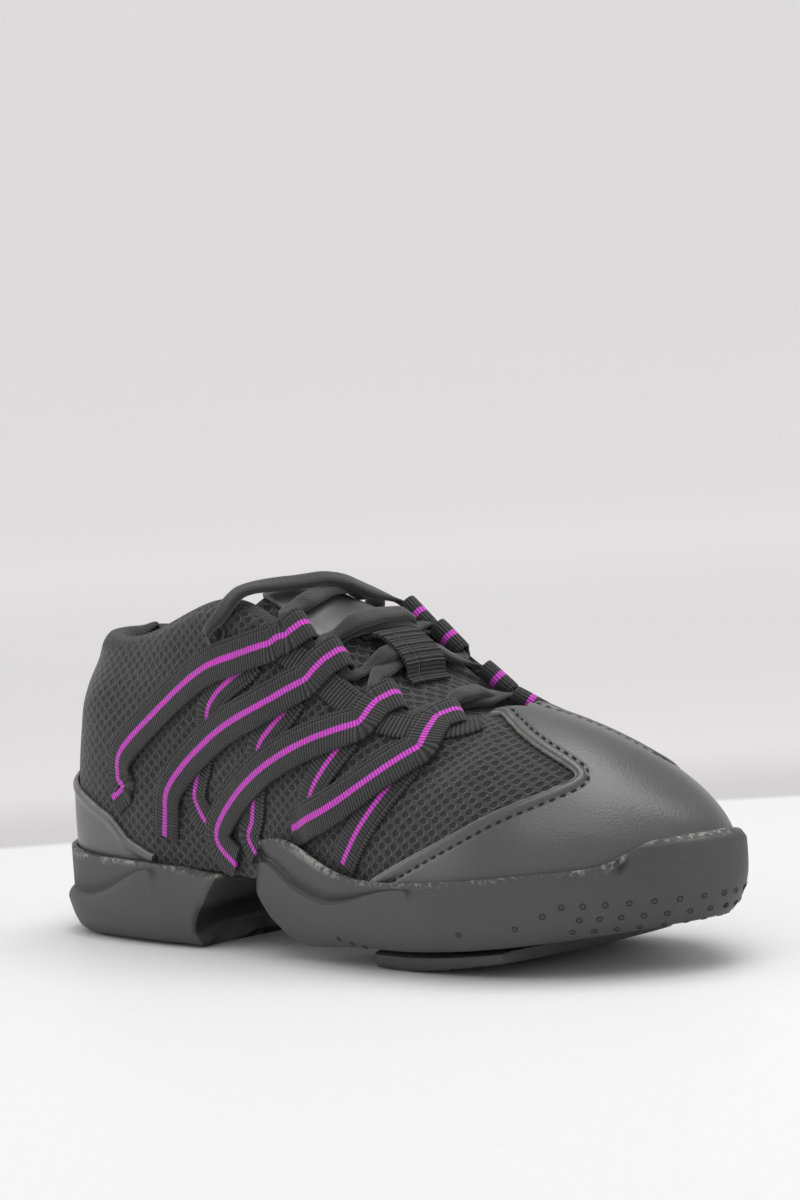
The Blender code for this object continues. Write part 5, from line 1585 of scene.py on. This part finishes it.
def make_stage(settings):
    bpy.context.scene.view_settings.view_transform = "Standard"
    turn = np.linspace(0, 2 * np.pi, 96, endpoint=False)
    bend = np.linspace(0, np.pi / 2, 12)
    profile = [(.02, 0), (.5, 0), (2, 0)]
    profile += [(SWEEP_FLAT + SWEEP_BEND * np.sin(a), SWEEP_BEND * (1 - np.cos(a))) for a in bend]
    profile += [(SWEEP_FLAT + SWEEP_BEND, 2.2)]
    points = np.array([(radius * np.cos(a), radius * np.sin(a), height)
                       for radius, height in profile for a in turn])
    faces = grid(len(profile), len(turn), wrap=True) + [tuple(range(len(turn)))]
    floor = piece("floor", points + ORIGIN, faces, angle=60)
    floor.data.materials.append(studio_floor("studio_floor", settings.floor_colour,
                                             settings.band_shade_colour, settings.far_colour,
                                             settings.glow))
    for lamp in LAMPS:
        bpy.ops.object.light_add(type="AREA", location=lamp.place)
        light = bpy.context.object
        light.name = "light_" + lamp.name
        light.data.size = lamp.size
        light.data.energy = lamp.power
        light.rotation_mode = "QUATERNION"
        light.rotation_quaternion = Vector(lamp.place).to_track_quat("Z", "Y")
    world = bpy.data.worlds.new("studio_world")
    world.use_nodes = True
    world.node_tree.nodes["Background"].inputs[0].default_value = (*settings.far_colour, 1)
    world.node_tree.nodes["Background"].inputs[1].default_value = settings.sky
    bpy.context.scene.world = world
    right, up, back = photo_axes()
    centre = CAMERA_AIM + back * CAMERA_AWAY + right * CAMERA_SHIFT[0] + up * CAMERA_SHIFT[1]
    bpy.ops.object.camera_add()
    camera = bpy.context.object
    camera.name = "photo_camera"
    camera.data.lens = CAMERA_LENS
    camera.data.clip_start = .05
    camera.data.clip_end = 40
    placed = Matrix.Identity(4)
    for k, axis in enumerate((right, up, back, centre - ORIGIN)):
        for j in range(3):
            placed[j][k] = axis[j]
    camera.matrix_world = placed
    bpy.context.scene.camera = camera


# The add-on's settings, operators and panel

def colour(name, description, default):
    return bpy.props.FloatVectorProperty(name=name, description=description, default=default,
                                         subtype="COLOR", size=3, min=0, max=1)


def length(name, description, default):
    return bpy.props.FloatProperty(name=name, description=description, default=default,
                                   unit="LENGTH", min=.0001)


class SneakerSettings(bpy.types.PropertyGroup):
    """Colours and sizes of the sneaker's finishes."""
    mesh_colour: colour("Mesh", "Yarn of the open mesh", (.026, .026, .028))
    webbing_colour: colour("Webbing", "Yarn of the webbing", (.016, .016, .017))
    stripe_colour: colour("Stripe", "Bright stripe of the webbing", (.80, .058, .74))
    leather_colour: colour("Leather", "Satin leather", (.072, .072, .071))
    # A paler colour along the leather's cut edge.
    edge_colour: colour("Leather edge", "Worn edge of the leather", (.22, .22, .21))
    rubber_colour: colour("Rubber", "Moulded sole", (.066, .066, .066))
    glue_colour: colour("Glue", "Dried glue along the sole's lip", (.36, .36, .35))
    lace_colour: colour("Lace", "Knit of the lace", (.022, .022, .023))
    hole_pitch: length("Hole pitch", "Spacing of the mesh's holes", 4.6 * MM)
    tongue_pitch: length("Tongue pitch", "Spacing of the tongue's holes", 5.0 * MM)
    rib_pitch: length("Rib pitch", "Spacing of the webbing's ribs", 1.0 * MM)
    stripe_width: length("Stripe width", "Width of the bright stripe", 1.8 * MM)
    floor_colour: colour("Floor", "Floor near the shoe", (.86, .86, .86))
    # The band's colour is painted shade on the floor behind the shoe.
    band_shade_colour: colour("Band", "Floor a little way off", (.60, .59, .595))
    far_colour: colour("Far", "Backdrop", (.76, .75, .755))
    sky: bpy.props.FloatProperty(name="Sky", description="Strength of the even light", default=.52,
                                 min=0)
    glow: bpy.props.FloatProperty(name="Glow", description="Strength of the lit backdrop",
                                  default=.41, min=0)


def operator(word, label, text, make):
    """An operator class that makes one group of pieces."""
    def execute(self, context):
        make(context.scene.sneaker)
        return {"FINISHED"}
    return type("SNEAKER_OT_" + word, (bpy.types.Operator,), {
        "bl_idname": "sneaker." + word, "bl_label": label, "__doc__": text, "execute": execute,
        "bl_options": {"REGISTER", "UNDO"}})


OPERATORS = (
    operator("upper", "Upper", "Make the mesh upper, its collar, lining and waist", make_upper),
    operator("sole", "Sole", "Make the two sole units, the tread and its dots", make_sole),
    operator("insole", "Insole", "Make the footbed", make_insole),
    operator("tongue", "Tongue", "Make the tongue", make_tongue),
    operator("leather", "Leather", "Make the toe cap, counter, patch and stitches", make_leather),
    operator("webbing", "Webbing", "Make the straps, stays, edge tapes and keeper", make_webbing),
    operator("lace", "Lace", "Make the lace", make_lace),
    operator("eyelets", "Eyelets", "Make the top eyelets", make_eyelets),
    operator("stage", "Stage", "Make the floor, lights and camera", make_stage),
)


class SNEAKER_PT_panel(bpy.types.Panel):
    """Settings and steps of the sneaker."""
    bl_label = "Sneaker"
    bl_idname = "SNEAKER_PT_panel"
    bl_space_type = "VIEW_3D"
    bl_region_type = "UI"
    bl_category = "Sneaker"

    def draw(self, context):
        for name in SneakerSettings.__annotations__:
            self.layout.prop(context.scene.sneaker, name)
        for made in OPERATORS:
            self.layout.operator(made.bl_idname)


CLASSES = (SneakerSettings, *OPERATORS, SNEAKER_PT_panel)


def register():
    for made in CLASSES:
        bpy.utils.register_class(made)
    bpy.types.Scene.sneaker = bpy.props.PointerProperty(type=SneakerSettings)


def unregister():
    del bpy.types.Scene.sneaker
    for made in reversed(CLASSES):
        bpy.utils.unregister_class(made)


def main():
    register()
    for made in OPERATORS:
        getattr(bpy.ops.sneaker, made.bl_idname.split(".")[1])()


if __name__ == "__main__":
    main()
